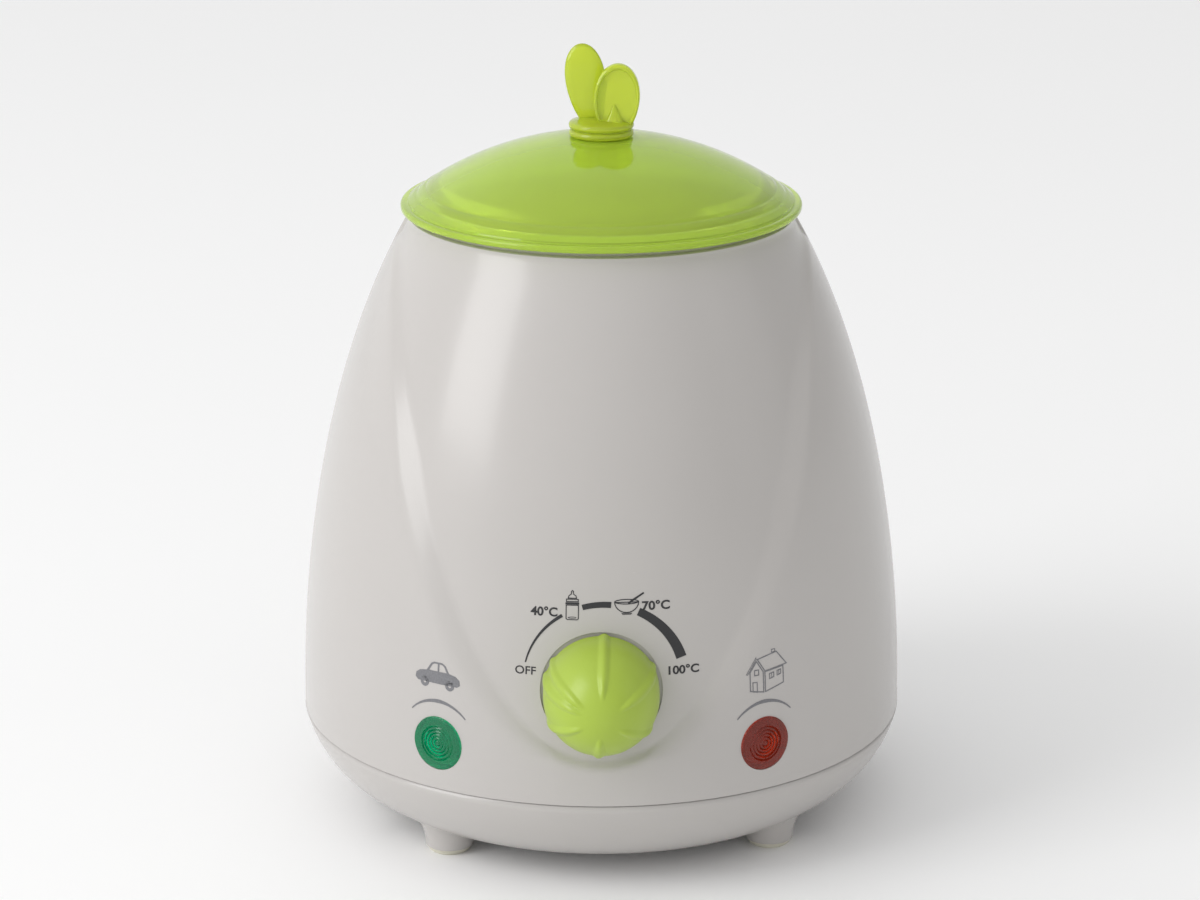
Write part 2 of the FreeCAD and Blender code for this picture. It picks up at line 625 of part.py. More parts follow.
def body_shell():
    """Egg-shaped shell with a knob well, lens seats, screw columns and a rear inlet bay."""
    hull = hull_with_panel()
    under_rim = "(shell_top - rim_thickness)"
    wall = turned("shell_ring", [
        ("body_r - shell_wall", "seam_z", ("ellipse", "seam_z")),
        ("body_r", "seam_z"),
        (TOP_R, "shell_top", ("ellipse", "seam_z")),
        ("mouth_r + chamber_wall + collar_gap", "shell_top"),
        ("mouth_r + chamber_wall + collar_gap", under_rim),
        (f"{shell_radius(under_rim)} - shell_wall", under_rim),
    ])
    solids = [wall]
    holes = []

    cup = cylinder("well_cup", f"{WELL_R} + well_wall", f"body_r - {WELL_BACK}")
    solids.append(outward(cup, 0, WELL_BACK, "knob_z"))
    holes.append(outward(cylinder("well_space", WELL_R, "body_r"), 0, WELL_FACE, "knob_z"))
    bore = cylinder("well_bore", "spindle_r + spindle_gap", "body_r")
    holes.append(outward(bore, 0, f"{WELL_BACK} - 1", "knob_z"))
    for k, side in enumerate((-1, 1)):
        x = f"{side} * bracket_holes / 2"
        boss = cylinder(f"bracket_boss_{k + 1}", "bracket_boss_r", f"body_r - {BRACKET_FRONT}")
        solids.append(place(boss, x, f"-{BRACKET_FRONT}", "knob_z", facing(0)))
        hole = cylinder(f"bracket_bore_{k + 1}", "screw_r + screw_gap", "bracket_bite + 0.4")
        holes.append(place(hole, x, f"-{BRACKET_FRONT}", "knob_z", facing(0)))
        seat = cylinder(f"lens_boss_{k + 1}", SEAT_R, f"body_r - {LENS_SEAT}")
        solids.append(outward(seat, f"({side} * lamp_turn)", LENS_SEAT, LAMP_Z))
        opening = cylinder(f"lens_opening_{k + 1}", "lens_r + lens_gap", "body_r")
        holes.append(outward(opening, f"({side} * lamp_turn)", f"{LENS_SEAT} - 1", LAMP_Z))
    for k, angle in enumerate(around(SCREWS)):
        column = cylinder(f"shell_column_{k + 1}", "column_r", "column_top - column_split")
        solids.append(on_ring(column, COLUMN_RING, angle, "column_split"))
        web = box(f"shell_web_{k + 1}", f"body_r - {COLUMN_RING}", "rib", "column_top - column_split")
        place(web, f"{COLUMN_RING} * cos({angle}) + rib / 2 * sin({angle})",
              f"{COLUMN_RING} * sin({angle}) - rib / 2 * cos({angle})", "column_split",
              f"rotation(vector(0; 0; 1); {angle})")
        solids.append(web)
        hole = cylinder(f"shell_bore_{k + 1}", "screw_r + screw_gap", "case_bite + 0.5")
        holes.append(on_ring(hole, COLUMN_RING, angle, "column_split"))
    solids.append(centred_box("bay_block", "2 * bay_half", "bay_depth + bay_wall",
                              "bay_high - bay_low + 2 * bay_wall", 0,
                              f"({BAY_FACE} - bay_wall + (bay_depth + bay_wall) / 2)", "bay_low - bay_wall"))
    holes.append(centred_box("bay_space", "3 * bay_half", "bay_depth * 2", "bay_high - bay_low", 0,
                             f"({BAY_FACE} + bay_depth)", "bay_low"))
    holes.append(stadium("mains_opening", "inlet_x + 2 * inlet_gap", "inlet_z + 2 * inlet_gap",
                         "bay_wall + 2", "mains_x", f"{BAY_FACE} + 1"))
    socket = cylinder("dc_opening", "dc_r + inlet_gap", "bay_wall + 2")
    holes.append(place(socket, "dc_x", f"{BAY_FACE} + 1", BAY_MID, facing(0)))

    whole = common("shell_moulding", fuse("shell_solids", solids), hull)
    node("body_shell", cut("shell_bored", whole, fuse("shell_holes", holes)))


def stadium(name, length, height, depth, x, y):
    """A round-ended bar, level across the rear bay, running forward from y by depth."""
    bar = centred_box(name + "_bar", f"{length} - ({height})", depth, height, x,
                      f"({y} - ({depth}) / 2)", f"{BAY_MID} - ({height}) / 2")
    ends = []
    for k, side in enumerate((-1, 1)):
        end = cylinder(f"{name}_end_{k + 1}", f"({height}) / 2", depth)
        ends.append(place(end, f"{x} + {side} * ({length} - ({height})) / 2", y, BAY_MID, facing(0)))
    return fuse(name, [bar] + ends)


def water_chamber():
    """Inner pot that hangs by its lip from the shell's rim, with a holed floor and three ears."""
    pot = turned("pot", [
        (FLOOR_HOLE, CHAMBER_UNDER),
        (f"{CHAMBER_LOW_R} + chamber_wall", CHAMBER_UNDER),
        ("mouth_r + chamber_wall", "shell_top"),
        ("mouth_r + lip_width", "shell_top"),
        ("mouth_r + lip_width", LIP_TOP),
        ("mouth_r", LIP_TOP),
        (CHAMBER_LOW_R, "chamber_floor"),
        (FLOOR_HOLE, "chamber_floor"),
    ])
    pieces = [pot]
    holes = []
    for k, angle in enumerate(around(SCREWS)):
        ear = cylinder(f"ear_{k + 1}", "ear_r", "ear_height")
        pieces.append(on_ring(ear, EAR_RING, angle, PLATE_UNDER))
        inner = f"({CHAMBER_LOW_R} + chamber_wall / 2)"
        web = box(f"ear_web_{k + 1}", f"{EAR_RING} - {inner}", "rib",
                  f"ear_height + {PLATE_UNDER} - {CHAMBER_UNDER}")
        place(web, f"{inner} * cos({angle}) + rib / 2 * sin({angle})",
              f"{inner} * sin({angle}) - rib / 2 * cos({angle})", CHAMBER_UNDER,
              f"rotation(vector(0; 0; 1); {angle})")
        pieces.append(web)
        bore = cylinder(f"ear_bore_{k + 1}", "screw_r + screw_gap", "clamp_bite + 0.5")
        holes.append(on_ring(bore, EAR_RING, angle, PLATE_UNDER))
    node("water_chamber", cut("chamber_bored", fuse("chamber_moulding", pieces), fuse("ear_holes", holes)))


def chamber_gasket():
    """Flat seal between the chamber's floor and the heating plate's flange."""
    node("chamber_gasket", turned("gasket", [
        (FLOOR_HOLE, FLANGE_TOP),
        (f"{FLOOR_HOLE} + gasket_width", FLANGE_TOP),
        (f"{FLOOR_HOLE} + gasket_width", CHAMBER_UNDER),
        (FLOOR_HOLE, CHAMBER_UNDER),
    ]))


def heating_plate():
    """Metal plate whose raised centre closes the chamber's floor."""
    node("heating_plate", turned("plate", [
        (0, PLATE_UNDER),
        (PLATE_R, PLATE_UNDER),
        (PLATE_R, FLANGE_TOP),
        (f"{FLOOR_HOLE} - plate_gap", FLANGE_TOP),
        (f"{FLOOR_HOLE} - plate_gap", "chamber_floor - plate_drop - plate_bevel"),
        (f"{FLOOR_HOLE} - plate_gap - plate_bevel", "chamber_floor - plate_drop"),
        (0, "chamber_floor - plate_drop"),
    ]))


def heater_clamp():
    """Sheet-metal ring with three arms that presses the plate up against its gasket."""
    low = f"({PLATE_UNDER} - clamp_t)"
    ring = turned("clamp_ring", [
        (CLAMP_IN, low),
        (CLAMP_OUT, low),
        (CLAMP_OUT, PLATE_UNDER),
        (CLAMP_IN, PLATE_UNDER),
    ])
    pieces = [ring]
    holes = []
    middle = f"(({CLAMP_IN} + {CLAMP_OUT}) / 2)"
    for k, angle in enumerate(around(SCREWS)):
        arm = box(f"clamp_arm_{k + 1}", f"{EAR_RING} - {middle}", "2 * ear_r", "clamp_t")
        place(arm, f"{middle} * cos({angle}) + ear_r * sin({angle})",
              f"{middle} * sin({angle}) - ear_r * cos({angle})", low,
              f"rotation(vector(0; 0; 1); {angle})")
        end = on_ring(cylinder(f"clamp_end_{k + 1}", "ear_r", "clamp_t"), EAR_RING, angle, low)
        hole = cylinder(f"clamp_hole_{k + 1}", "screw_r + pass_gap", "clamp_t + 2")
        pieces += [arm, end]
        holes.append(on_ring(hole, EAR_RING, angle, f"{low} - 1"))
    node("heater_clamp", cut("clamp_bored", fuse("clamp_sheet", pieces), fuse("clamp_holes", holes)))


def heaters():
    """Two flat heater blocks under the plate, one for each supply."""
    for name, side in (("heater_mains", 1), ("heater_low_voltage", -1)):
        block = centred_box(name + "_block", HEATER_X, "heater_y", "heater_z", 0,
                            f"{side} * heater_apart / 2", f"{PLATE_UNDER} - heater_z")
        node(name, block)


def thermal_fuse():
    """Barrel fuse lying between the heaters, held to the plate by a clip."""
    centre = f"({PLATE_UNDER} - fuse_gap - fuse_r)"
    lying = "rotation(vector(0; 1; 0); 90)"
    fuse_body = cylinder("fuse_body", "fuse_r", "fuse_length")
    node("thermal_fuse", place(fuse_body, "-fuse_length / 2", 0, centre, lying))
    deep = "(2 * fuse_r + fuse_gap + clip_wall)"
    clip = centred_box("clip_block", "clip_x", "clip_y", deep, 0, 0, f"{PLATE_UNDER} - {deep}")
    bore = place(cylinder("clip_bore", "fuse_r + screw_gap", "clip_x + 2"), "-clip_x / 2 - 1", 0,
                 centre, lying)
    node("fuse_clip", cut("clip_bored", clip, bore))


def thermostat():
    """Adjustable thermostat: block with a bushing, tabs, bracket plate and two screws."""
    block = centred_box("block_body", "block_x", "block_y", "block_z", 0,
                        f"(-({BLOCK_FRONT} + {BLOCK_BACK}) / 2)", "knob_z - block_z / 2")
    bushing = outward(cylinder("bushing", BUSHING_R, "bushing_length"), 0, BLOCK_FRONT, "knob_z")
    bore = cylinder("block_bore", "spindle_r + spindle_gap", "block_y + bushing_length + 2")
    outward(bore, 0, f"{BLOCK_BACK} - 1", "knob_z")
    recess = cylinder("collar_recess", f"{COLLAR_R} + spindle_gap", "collar_t + collar_play + 1")
    outward(recess, 0, f"{BLOCK_BACK} - 1", "knob_z")
    whole = fuse("block_whole", [block, bushing])
    node("thermostat_block", cut("block_bored", whole, fuse("block_holes", [bore, recess])))

    tabs = []
    for k, side in enumerate((-1, 1)):
        tabs.append(centred_box(f"tab_{k + 1}", "tab_x", "tab_y", "tab_z", f"{side} * tab_apart / 2",
                                f"(-({BLOCK_FRONT} + {BLOCK_BACK}) / 2)", "knob_z - block_z / 2 - tab_z"))
    node("thermostat_tabs", group("tabs", tabs))

    plate = centred_box("bracket_sheet", "bracket_x", "bracket_t", "bracket_z", 0,
                        f"(-({BRACKET_FRONT} + {BLOCK_FRONT}) / 2)", "knob_z - bracket_z / 2")
    hole = cylinder("bracket_hole", f"{BUSHING_R} + bushing_gap", "bracket_t + 2")
    holes = [outward(hole, 0, f"{BLOCK_FRONT} - 1", "knob_z")]
    screws = []
    for k, side in enumerate((-1, 1)):
        x = f"{side} * bracket_holes / 2"
        slot = cylinder(f"bracket_slot_{k + 1}", "screw_r + pass_gap", "bracket_t + 2")
        holes.append(place(slot, x, f"-({BLOCK_FRONT} - 1)", "knob_z", facing(0)))
        head = cylinder(f"bracket_head_{k + 1}", "clamp_head_r", "clamp_head_t")
        place(head, x, f"-({BLOCK_FRONT} - clamp_head_t)", "knob_z", facing(0))
        shank = cylinder(f"bracket_shank_{k + 1}", "screw_r", "clamp_head_t + bracket_t + bracket_bite")
        place(shank, x, f"-({BLOCK_FRONT} - clamp_head_t)", "knob_z", facing(0))
        screws.append(fuse(f"bracket_screw_{k + 1}", [head, shank]))
    node("thermostat_bracket", cut("bracket_bored", plate, fuse("bracket_cuts", holes)))
    node("bracket_screws", group("bracket_screw_set", screws))


def spindle():
    """Spindle with a rear collar, flattened where it enters the knob."""
    tip = f"({KNOB_FOOT} + skirt + socket_depth - 1)"
    shaft = cylinder("spindle_shaft", "spindle_r", f"{tip} - {BLOCK_BACK} - collar_play")
    outward(shaft, 0, f"{BLOCK_BACK} + collar_play", "knob_z")
    collar = cylinder("spindle_collar", COLLAR_R, "collar_t")
    outward(collar, 0, f"{COLLAR_FRONT} - collar_play / 2 - collar_t", "knob_z")
    whole = fuse("spindle_whole", [shaft, collar])
    flat = centred_box("spindle_flat_cut", "4 * spindle_r", f"{tip} - {KNOB_SHOULDER} + 2",
                       "2 * spindle_r", 0, f"(-({tip} + {KNOB_SHOULDER} + 2) / 2)",
                       f"knob_z + {SPINDLE_FLAT}")
    node("thermostat_spindle", cut("spindle_cut", whole, flat))


def knob_form(name, skin, rise):
    """Solid skirt-and-dome form in the knob's own frame, with Z outward from its foot."""
    return turned(name, [
        (0, 0),
        (f"knob_r + ({skin})", 0),
        (f"knob_r + ({skin})", "skirt"),
        (0, f"skirt + {KNOB_DOME} + ({rise})", ("ellipse", "skirt")),
    ])


def control_knob():
    """Domed knob with raised grip ribs, hollow behind, with a socket for the flatted spindle."""
    blades = []
    turns = [f"(grip_turn - {360.0 / KNOB_RIBS * k})" for k in range(KNOB_RIBS)] + ["pointer_turn"]
    for k, turn in enumerate(turns):
        blade = box(f"blade_{k + 1}", "knob_r", "grip_width", f"skirt + {KNOB_DOME} * 2")
        place(blade, f"grip_in * cos({turn}) + grip_width / 2 * sin({turn})",
              f"grip_in * sin({turn}) - grip_width / 2 * cos({turn})", 0,
              f"rotation(vector(0; 0; 1); {turn})")
        blades.append(blade)
    ribs = common("knob_ribs", fuse("blades", blades), knob_form("rib_form", "grip_rise", "grip_rise * 2"))
    form = fuse("knob_outside", [knob_form("knob_body", "0", "0"), ribs])
    inside = knob_form("knob_inside", "-knob_wall", "-knob_wall")
    hub_form = common("knob_hub", cylinder("hub", HUB_R, f"skirt + {KNOB_DOME}"),
                      knob_form("hub_form", "-0.5", "-0.5"))
    round_socket = cylinder("socket_round", "spindle_r + socket_gap", "skirt + socket_depth")
    filler = centred_box("socket_flat", "4 * spindle_r", "2 * spindle_r", "socket_depth + 1", 0,
                         f"{SPINDLE_FLAT} + socket_gap + spindle_r", "skirt + socket_gap")
    socket = cut("knob_socket", round_socket, filler)
    shell = fuse("knob_shell", [cut("knob_hollowed", form, inside), hub_form])
    node("control_knob", outward(cut("knob_bored", shell, socket), 0, KNOB_FOOT, "knob_z"))


def knob_ring():
    """Slotted spring ring that grips the knob's hub."""
    outer = cylinder("ring_outer", f"{HUB_R} + screw_gap + ring_t", "ring_length")
    inner = cylinder("ring_inner", f"{HUB_R} + screw_gap", "ring_length")
    slot = centred_box("ring_gap", "ring_slot", f"2 * {HUB_R}", "ring_length", 0, f"-{HUB_R}", 0)
    ring = cut("ring_slotted", cut("ring_tube", outer, inner), slot)
    node("knob_spring_ring", outward(ring, 0, f"{KNOB_FOOT} + ring_t", "knob_z"))


def lamp(side, lens_name, holder_name, bulb_name):
    """Lens cup with a flange behind the shell's seat, its holder and the lamp in it."""
    azimuth = f"({side} * lamp_turn)"
    back = f"({LENS_SEAT} - flange_t)"
    sag = "(lens_rise + 0.1)"
    edge = "flange_t + seat_depth - 0.1"
    lens = turned(lens_name + "_cup", [
        (0, "flange_t + seat_depth - lens_face_t"),
        ("lens_r - lens_wall", "flange_t + seat_depth - lens_face_t"),
        ("lens_r - lens_wall", 0),
        (FLANGE_R, 0),
        (FLANGE_R, "flange_t"),
        ("lens_r", "flange_t"),
        ("lens_r", edge),
        (0, "flange_t + seat_depth + lens_rise", ("arc", f"(lens_r^2 + {sag}^2) / (2 * {sag})", -1)),
    ])
    node(lens_name, outward(lens, azimuth, back, LAMP_Z))
    floor = "holder_wall * 1.5"
    holder = turned(holder_name + "_cup", [
        ("bulb_r + screw_gap", 0),
        (HOLDER_R, 0),
        (HOLDER_R, "holder_length"),
        (f"{HOLDER_R} - holder_wall", "holder_length"),
        (f"{HOLDER_R} - holder_wall", floor),
        ("bulb_r + screw_gap", floor),
    ])
    node(holder_name, outward(holder, azimuth, f"{back} - holder_length", LAMP_Z))
    bulb = turned(bulb_name + "_body", [
        (0, 0),
        ("bulb_r", 0),
        ("bulb_r", "bulb_length - bulb_r"),
        (0, "bulb_length", ("arc", "bulb_r", -1)),
    ])
    node(bulb_name, outward(bulb, azimuth, f"{back} - holder_length", LAMP_Z))


def mains_inlet():
    """Two-pin mains inlet in the rear bay, and its pins."""
    flange = stadium("inlet_flange", "inlet_x + 2 * inlet_rim", "inlet_z + 2 * inlet_rim", "inlet_rim_t",
                     "mains_x", f"({BAY_FACE} + inlet_rim_t)")
    barrel = stadium("inlet_barrel", "inlet_x", "inlet_z", "inlet_deep", "mains_x", BAY_FACE)
    hollow = stadium("inlet_space", "inlet_hollow_x", "inlet_hollow_z",
                     "inlet_deep + inlet_rim_t - inlet_back + 1", "mains_x",
                     f"({BAY_FACE} + inlet_rim_t + 1)")
    holes = [hollow]
    pins = []
    for k, side in enumerate((-1, 1)):
        x = f"mains_x + {side} * pin_apart / 2"
        hole = cylinder(f"pin_hole_{k + 1}", "pin_r + screw_gap", "inlet_deep + 1")
        holes.append(place(hole, x, BAY_FACE, BAY_MID, facing(0)))
        pin = cylinder(f"pin_{k + 1}", "pin_r", "inlet_deep + pin_tail - 1")
        pins.append(place(pin, x, f"{BAY_FACE} - 1", BAY_MID, facing(0)))
    node("mains_inlet", cut("inlet_bored", fuse("inlet_body", [flange, barrel]), fuse("inlet_holes", holes)))
    node("mains_pins", group("pins", pins))


def low_voltage_inlet():
    """Round low-voltage inlet beside the mains inlet, and its centre pin."""
    flange = cylinder("dc_flange", "dc_r + inlet_rim", "inlet_rim_t")
    place(flange, "dc_x", f"{BAY_FACE} + inlet_rim_t", BAY_MID, facing(0))
    barrel = place(cylinder("dc_barrel", "dc_r", "inlet_deep"), "dc_x", BAY_FACE, BAY_MID, facing(0))
    bore = cylinder("dc_bore", "dc_bore_r", "inlet_deep + inlet_rim_t - inlet_back + 1")
    place(bore, "dc_x", f"{BAY_FACE} + inlet_rim_t + 1", BAY_MID, facing(0))
    hole = cylinder("dc_pin_hole", "dc_pin_r + screw_gap", "inlet_deep + 1")
    place(hole, "dc_x", BAY_FACE, BAY_MID, facing(0))
    body = fuse("dc_body", [flange, barrel])
    node("low_voltage_inlet", cut("dc_bored", body, fuse("dc_holes", [bore, hole])))
    pin = cylinder("dc_pin_rod", "dc_pin_r", "inlet_deep + pin_tail - 1")
    node("low_voltage_pin", place(pin, "dc_x", f"{BAY_FACE} - 1", BAY_MID, facing(0)))


def lid_dome():
    """Domed lid with a stepped rim and a short spigot that enters the chamber's mouth."""
    hole = "(stem_r + stem_gap)"
    centre = f"({LID_TOP} - {DOME_R})"
    inner = f"({DOME_R} - lid_wall)"
    under = f"({LID_SEAT} + lid_rim_t)"
    low = f"({LID_SEAT} - spigot_length)"
    root = f"({SPIGOT_R} - spigot_wall)"
    node("lid_dome", turned("dome", [
        (hole, f"{centre} + sqrt({inner}^2 - {hole}^2)"),
        (root, f"{centre} + sqrt({inner}^2 - {root}^2)", ("arc", inner, 1)),
        (root, low),
        (f"{SPIGOT_R} - lid_edge", low),
        (SPIGOT_R, f"{low} + lid_edge"),
        (SPIGOT_R, LID_SEAT),
        (f"{LID_R} - lid_edge", LID_SEAT),
        (LID_R, f"{LID_SEAT} + lid_edge"),
        (LID_R, f"{under} - lid_edge"),
        (f"{LID_R} - lid_edge", under),
        (LID_STEP_R, under),
        (LID_STEP_R, DOME_FOOT),
        (hole, f"{centre} + sqrt({DOME_R}^2 - {hole}^2)", ("arc", DOME_R, -1)),
    ]))


def lid_grip():
    """Two-leaf grip on a ringed collar, its grooved stem, and the ring that holds the stem."""
    crown = f"({LID_TOP} - lid_wall)"
    groove_high = f"({crown} - stem_ring_drop)"
    groove_low = f"({groove_high} - stem_ring_t - 2 * stem_ring_play)"
    stem = turned("stem", [
        (0, f"{crown} - stem_length"),
        ("stem_r - lid_edge", f"{crown} - stem_length"),
        ("stem_r", f"{crown} - stem_length + lid_edge"),
        ("stem_r", groove_low),
        ("stem_r - stem_neck", groove_low),
        ("stem_r - stem_neck", groove_high),
        ("stem_r", groove_high),
        ("stem_r", f"{LID_TOP} + 1"),
        (0, f"{LID_TOP} + 1"),
    ])
    foot = f"({LID_TOP} - grip_sink)"
    seam = "(grip_r - ring_bulge)"
    raw = turned("collar_form", [
        (0, foot),
        (seam, foot),
        (seam, f"{foot} + grip_ring", ("arc", "ring_round", -1)),
        (seam, f"{foot} + 2 * grip_ring", ("arc", "ring_round", -1)),
        (f"{seam} - crown_in", f"{foot} + 2 * grip_ring + crown_rise", ("arc", "crown_round", -1)),
        (0, f"{foot} + 2 * grip_ring + crown_rise"),
    ])
    dome = bind(doc.addObject("Part::Sphere", "dome_ball"), Radius=f"{DOME_R} + grip_gap")
    place(dome, 0, 0, f"{LID_TOP} - {DOME_R}")
    upper = [raw]
    for side in ("left", "right"):
        leaf = doc.addObject("Part::Ellipsoid", side + "_leaf")
        bind(leaf, Radius1=f"{side}_leaf_l", Radius2=f"{side}_leaf_w", Radius3="leaf_half")
        upper.append(place(leaf, f"{side}_leaf_x", f"{side}_leaf_y", f"{LID_TOP} + {side}_leaf_z",
                           f"rotation(vector(0; 1; 0); {side}_leaf_tilt)"))
    trimmed = cut("grip_upper", fuse("collar_and_leaves", upper), dome)
    node("lid_grip", fuse("grip", [stem, trimmed]))
    ring_r = "(stem_r + stem_ring_step)"
    ring = cut("grip_ring_tube", cylinder("grip_ring_outer", ring_r, "stem_ring_t"),
               cylinder("grip_ring_inner", "stem_r - stem_neck + screw_gap", "stem_ring_t"))
    slot = centred_box("grip_ring_slot", "stem_r", f"2 * {ring_r}", "stem_ring_t", 0, ring_r, 0)
    node("grip_ring", place(cut("grip_ring_open", ring, slot), 0, 0, f"{groove_low} + stem_ring_play"))


def wiring():
    """Insulated wires from inlets to thermostat, fuse, heaters and lamps."""
    tail = f"({BAY_FACE} - inlet_deep - pin_tail)"
    tab_y = f"(-({BLOCK_FRONT} + {BLOCK_BACK}) / 2)"
    tab_z = "(knob_z - block_z / 2 - tab_z)"
    fuse_z = f"({PLATE_UNDER} - fuse_gap - fuse_r)"
    heater_side = f"({HEATER_X} / 2)"
    heater_mid = f"({PLATE_UNDER} - heater_z / 2)"
    heater_under = f"({PLATE_UNDER} - heater_z)"
    back = f"({LENS_SEAT} - flange_t - holder_length)"
    lamp_x, lamp_y = f"sin(lamp_turn) * {back}", f"cos(lamp_turn) * {back}"
    inner_x, inner_y = f"sin(lamp_turn) * ({back} - 10)", f"cos(lamp_turn) * ({back} - 10)"
    near = "(mains_x + pin_apart / 2)"
    far = "(mains_x - pin_apart / 2)"
    half = "(heater_apart / 2)"
    near_end = f"({heater_side} - 3)"
    inboard = f"({heater_side} - 5)"
    middle = f"({heater_side} - 7)"
    wires("wires_mains", [
        [(far, tail, BAY_MID), (far, 37, BAY_MID), (-24, 22, 14), (-24, -38, 14),
         ("-tab_apart / 2", tab_y, 14), ("-tab_apart / 2", tab_y, tab_z)],
        [(near, tail, BAY_MID), (near, 40, BAY_MID), (-18, 26, 26), (-27, half, 22),
         (-27, half, heater_mid), (f"-{heater_side}", half, heater_mid)],
        [("tab_apart / 2", tab_y, tab_z), ("tab_apart / 2", tab_y, 18), (22, -30, 18), (21, 0, 18),
         (21, 0, fuse_z), ("fuse_length / 2", 0, fuse_z)],
        [("-fuse_length / 2", 0, fuse_z), (-21, 0, fuse_z), (-21, 0, 20), (f"-{inboard}", half, 20),
         (f"-{inboard}", half, heater_under)],
    ])
    wires("wires_low_voltage", [
        [("dc_x", tail, BAY_MID), ("dc_x", 38, BAY_MID), (27, 22, 22), (27, f"-{half}", 22),
         (27, f"-{half}", heater_mid), (heater_side, f"-{half}", heater_mid)],
        [("dc_x", f"{tail} + pin_tail", f"{BAY_MID} - 3.8"), ("dc_x", 40, f"{BAY_MID} - 3.8"),
         (12, 20, 24), (middle, f"-{half}", 20), (middle, f"-{half}", heater_under)],
    ])
    wires("wires_lamps", [
        [(f"-{lamp_x}", f"-{lamp_y}", LAMP_Z), (f"-{inner_x}", f"-{inner_y}", LAMP_Z),
         (-16, -26, 20), (f"-{inboard}", f"-{half}", 20), (f"-{inboard}", f"-{half}", heater_under)],
        [(lamp_x, f"-{lamp_y}", LAMP_Z), (inner_x, f"-{inner_y}", LAMP_Z),
         (18, -24, 24), (near_end, half, 20), (near_end, half, heater_under)],
    ])


def wires(name, routes):
    made = doc.addObject("Part::Feature", name + "_set")
    made.Shape = Part.makeCompound([wire_solid(route) for route in routes])
    node(name, made)


# ---------------------------------------------------------------- the whole warmer

base_cover()
foot_pads()
screw_set("case_screws", COLUMN_RING, "case_head_r", "case_head_t", "case_head_z",
          "column_split - case_head_z - case_head_t + case_bite")
body_shell()
water_chamber()
chamber_gasket()
heating_plate()
heater_clamp()
screw_set("clamp_screws", EAR_RING, "clamp_head_r", "clamp_head_t",
          f"({PLATE_UNDER} - clamp_t - clamp_head_t)", "clamp_t + clamp_bite")
heaters()
thermal_fuse()
thermostat()
spindle()
control_knob()
knob_ring()
lamp(-1, "lens_green", "lamp_holder_left", "lamp_low_voltage")
lamp(1, "lens_red", "lamp_holder_right", "lamp_mains")
mains_inlet()
low_voltage_inlet()
lid_dome()
lid_grip()
wiring()
doc.recompute()

for made in doc.Objects:
    if {"Invalid", "Error"} & set(made.State):
        raise ValueError(f"{made.Name} failed: {made.State}")
for name, made in NODES.items():
    if made.Shape.isNull() or not made.Shape.isValid() or made.Shape.Volume <= 0:
        raise ValueError(f"{name} has no valid solid")

os.makedirs("parts", exist_ok=True)
for name, made in NODES.items():
    made.Shape.exportStep(f"parts/{name}.step")
    print(f"{name}: {len(made.Shape.Solids)} solid(s), {made.Shape.Volume:.1f} mm3")
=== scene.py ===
import json
import math

import bpy
from mathutils import Matrix, Vector


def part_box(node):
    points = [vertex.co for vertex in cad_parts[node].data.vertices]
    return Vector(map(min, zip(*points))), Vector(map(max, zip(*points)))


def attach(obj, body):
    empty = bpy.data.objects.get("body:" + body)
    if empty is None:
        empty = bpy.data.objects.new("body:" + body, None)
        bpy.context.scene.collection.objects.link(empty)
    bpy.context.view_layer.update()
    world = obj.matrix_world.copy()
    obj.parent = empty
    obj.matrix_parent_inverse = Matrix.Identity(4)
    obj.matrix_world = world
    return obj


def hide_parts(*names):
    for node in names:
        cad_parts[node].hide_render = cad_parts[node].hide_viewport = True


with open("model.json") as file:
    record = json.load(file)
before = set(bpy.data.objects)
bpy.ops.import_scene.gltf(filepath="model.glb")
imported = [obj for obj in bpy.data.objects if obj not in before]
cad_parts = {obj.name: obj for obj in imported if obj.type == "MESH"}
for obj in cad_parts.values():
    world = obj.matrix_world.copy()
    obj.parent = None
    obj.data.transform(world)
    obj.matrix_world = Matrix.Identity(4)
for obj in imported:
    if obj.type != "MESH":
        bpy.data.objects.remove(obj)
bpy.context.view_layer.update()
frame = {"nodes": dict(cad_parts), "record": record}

bl_info = {
    "name": "Bottle Warmer",
    "version": (1, 0, 0),
    "blender": (4, 5, 0),
    "location": "View3D > Sidebar > Warmer",
    "description": "Builds a baby bottle warmer's visible pieces round its fixed frame",
    "category": "Add Mesh",
}

MM = 0.001

# places that the frame gives, all in metres
SHELL_LOW, SHELL_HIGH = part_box("body_shell")
KNOB_LOW, KNOB_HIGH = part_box("control_knob")
LID_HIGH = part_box("lid_dome")[1]
SEAM_Z = SHELL_LOW.z
KNOB_Z = (KNOB_LOW.z + KNOB_HIGH.z) / 2


def length(name, description, default):
    """A size in metres that a user may change."""
    return bpy.props.FloatProperty(
        name=name, description=description, default=default, min=0.0, precision=5,
        unit="LENGTH", subtype="DISTANCE",
    )


def colour(name, description, default):
    """A colour that a user may change."""
    return bpy.props.FloatVectorProperty(
        name=name, description=description, default=default, min=0.0, max=1.0, size=3,
        subtype="COLOR",
    )


def turn(name, description, degrees):
    """An angle that a user may change."""
    return bpy.props.FloatProperty(
        name=name, description=description, default=math.radians(degrees), subtype="ANGLE",
    )


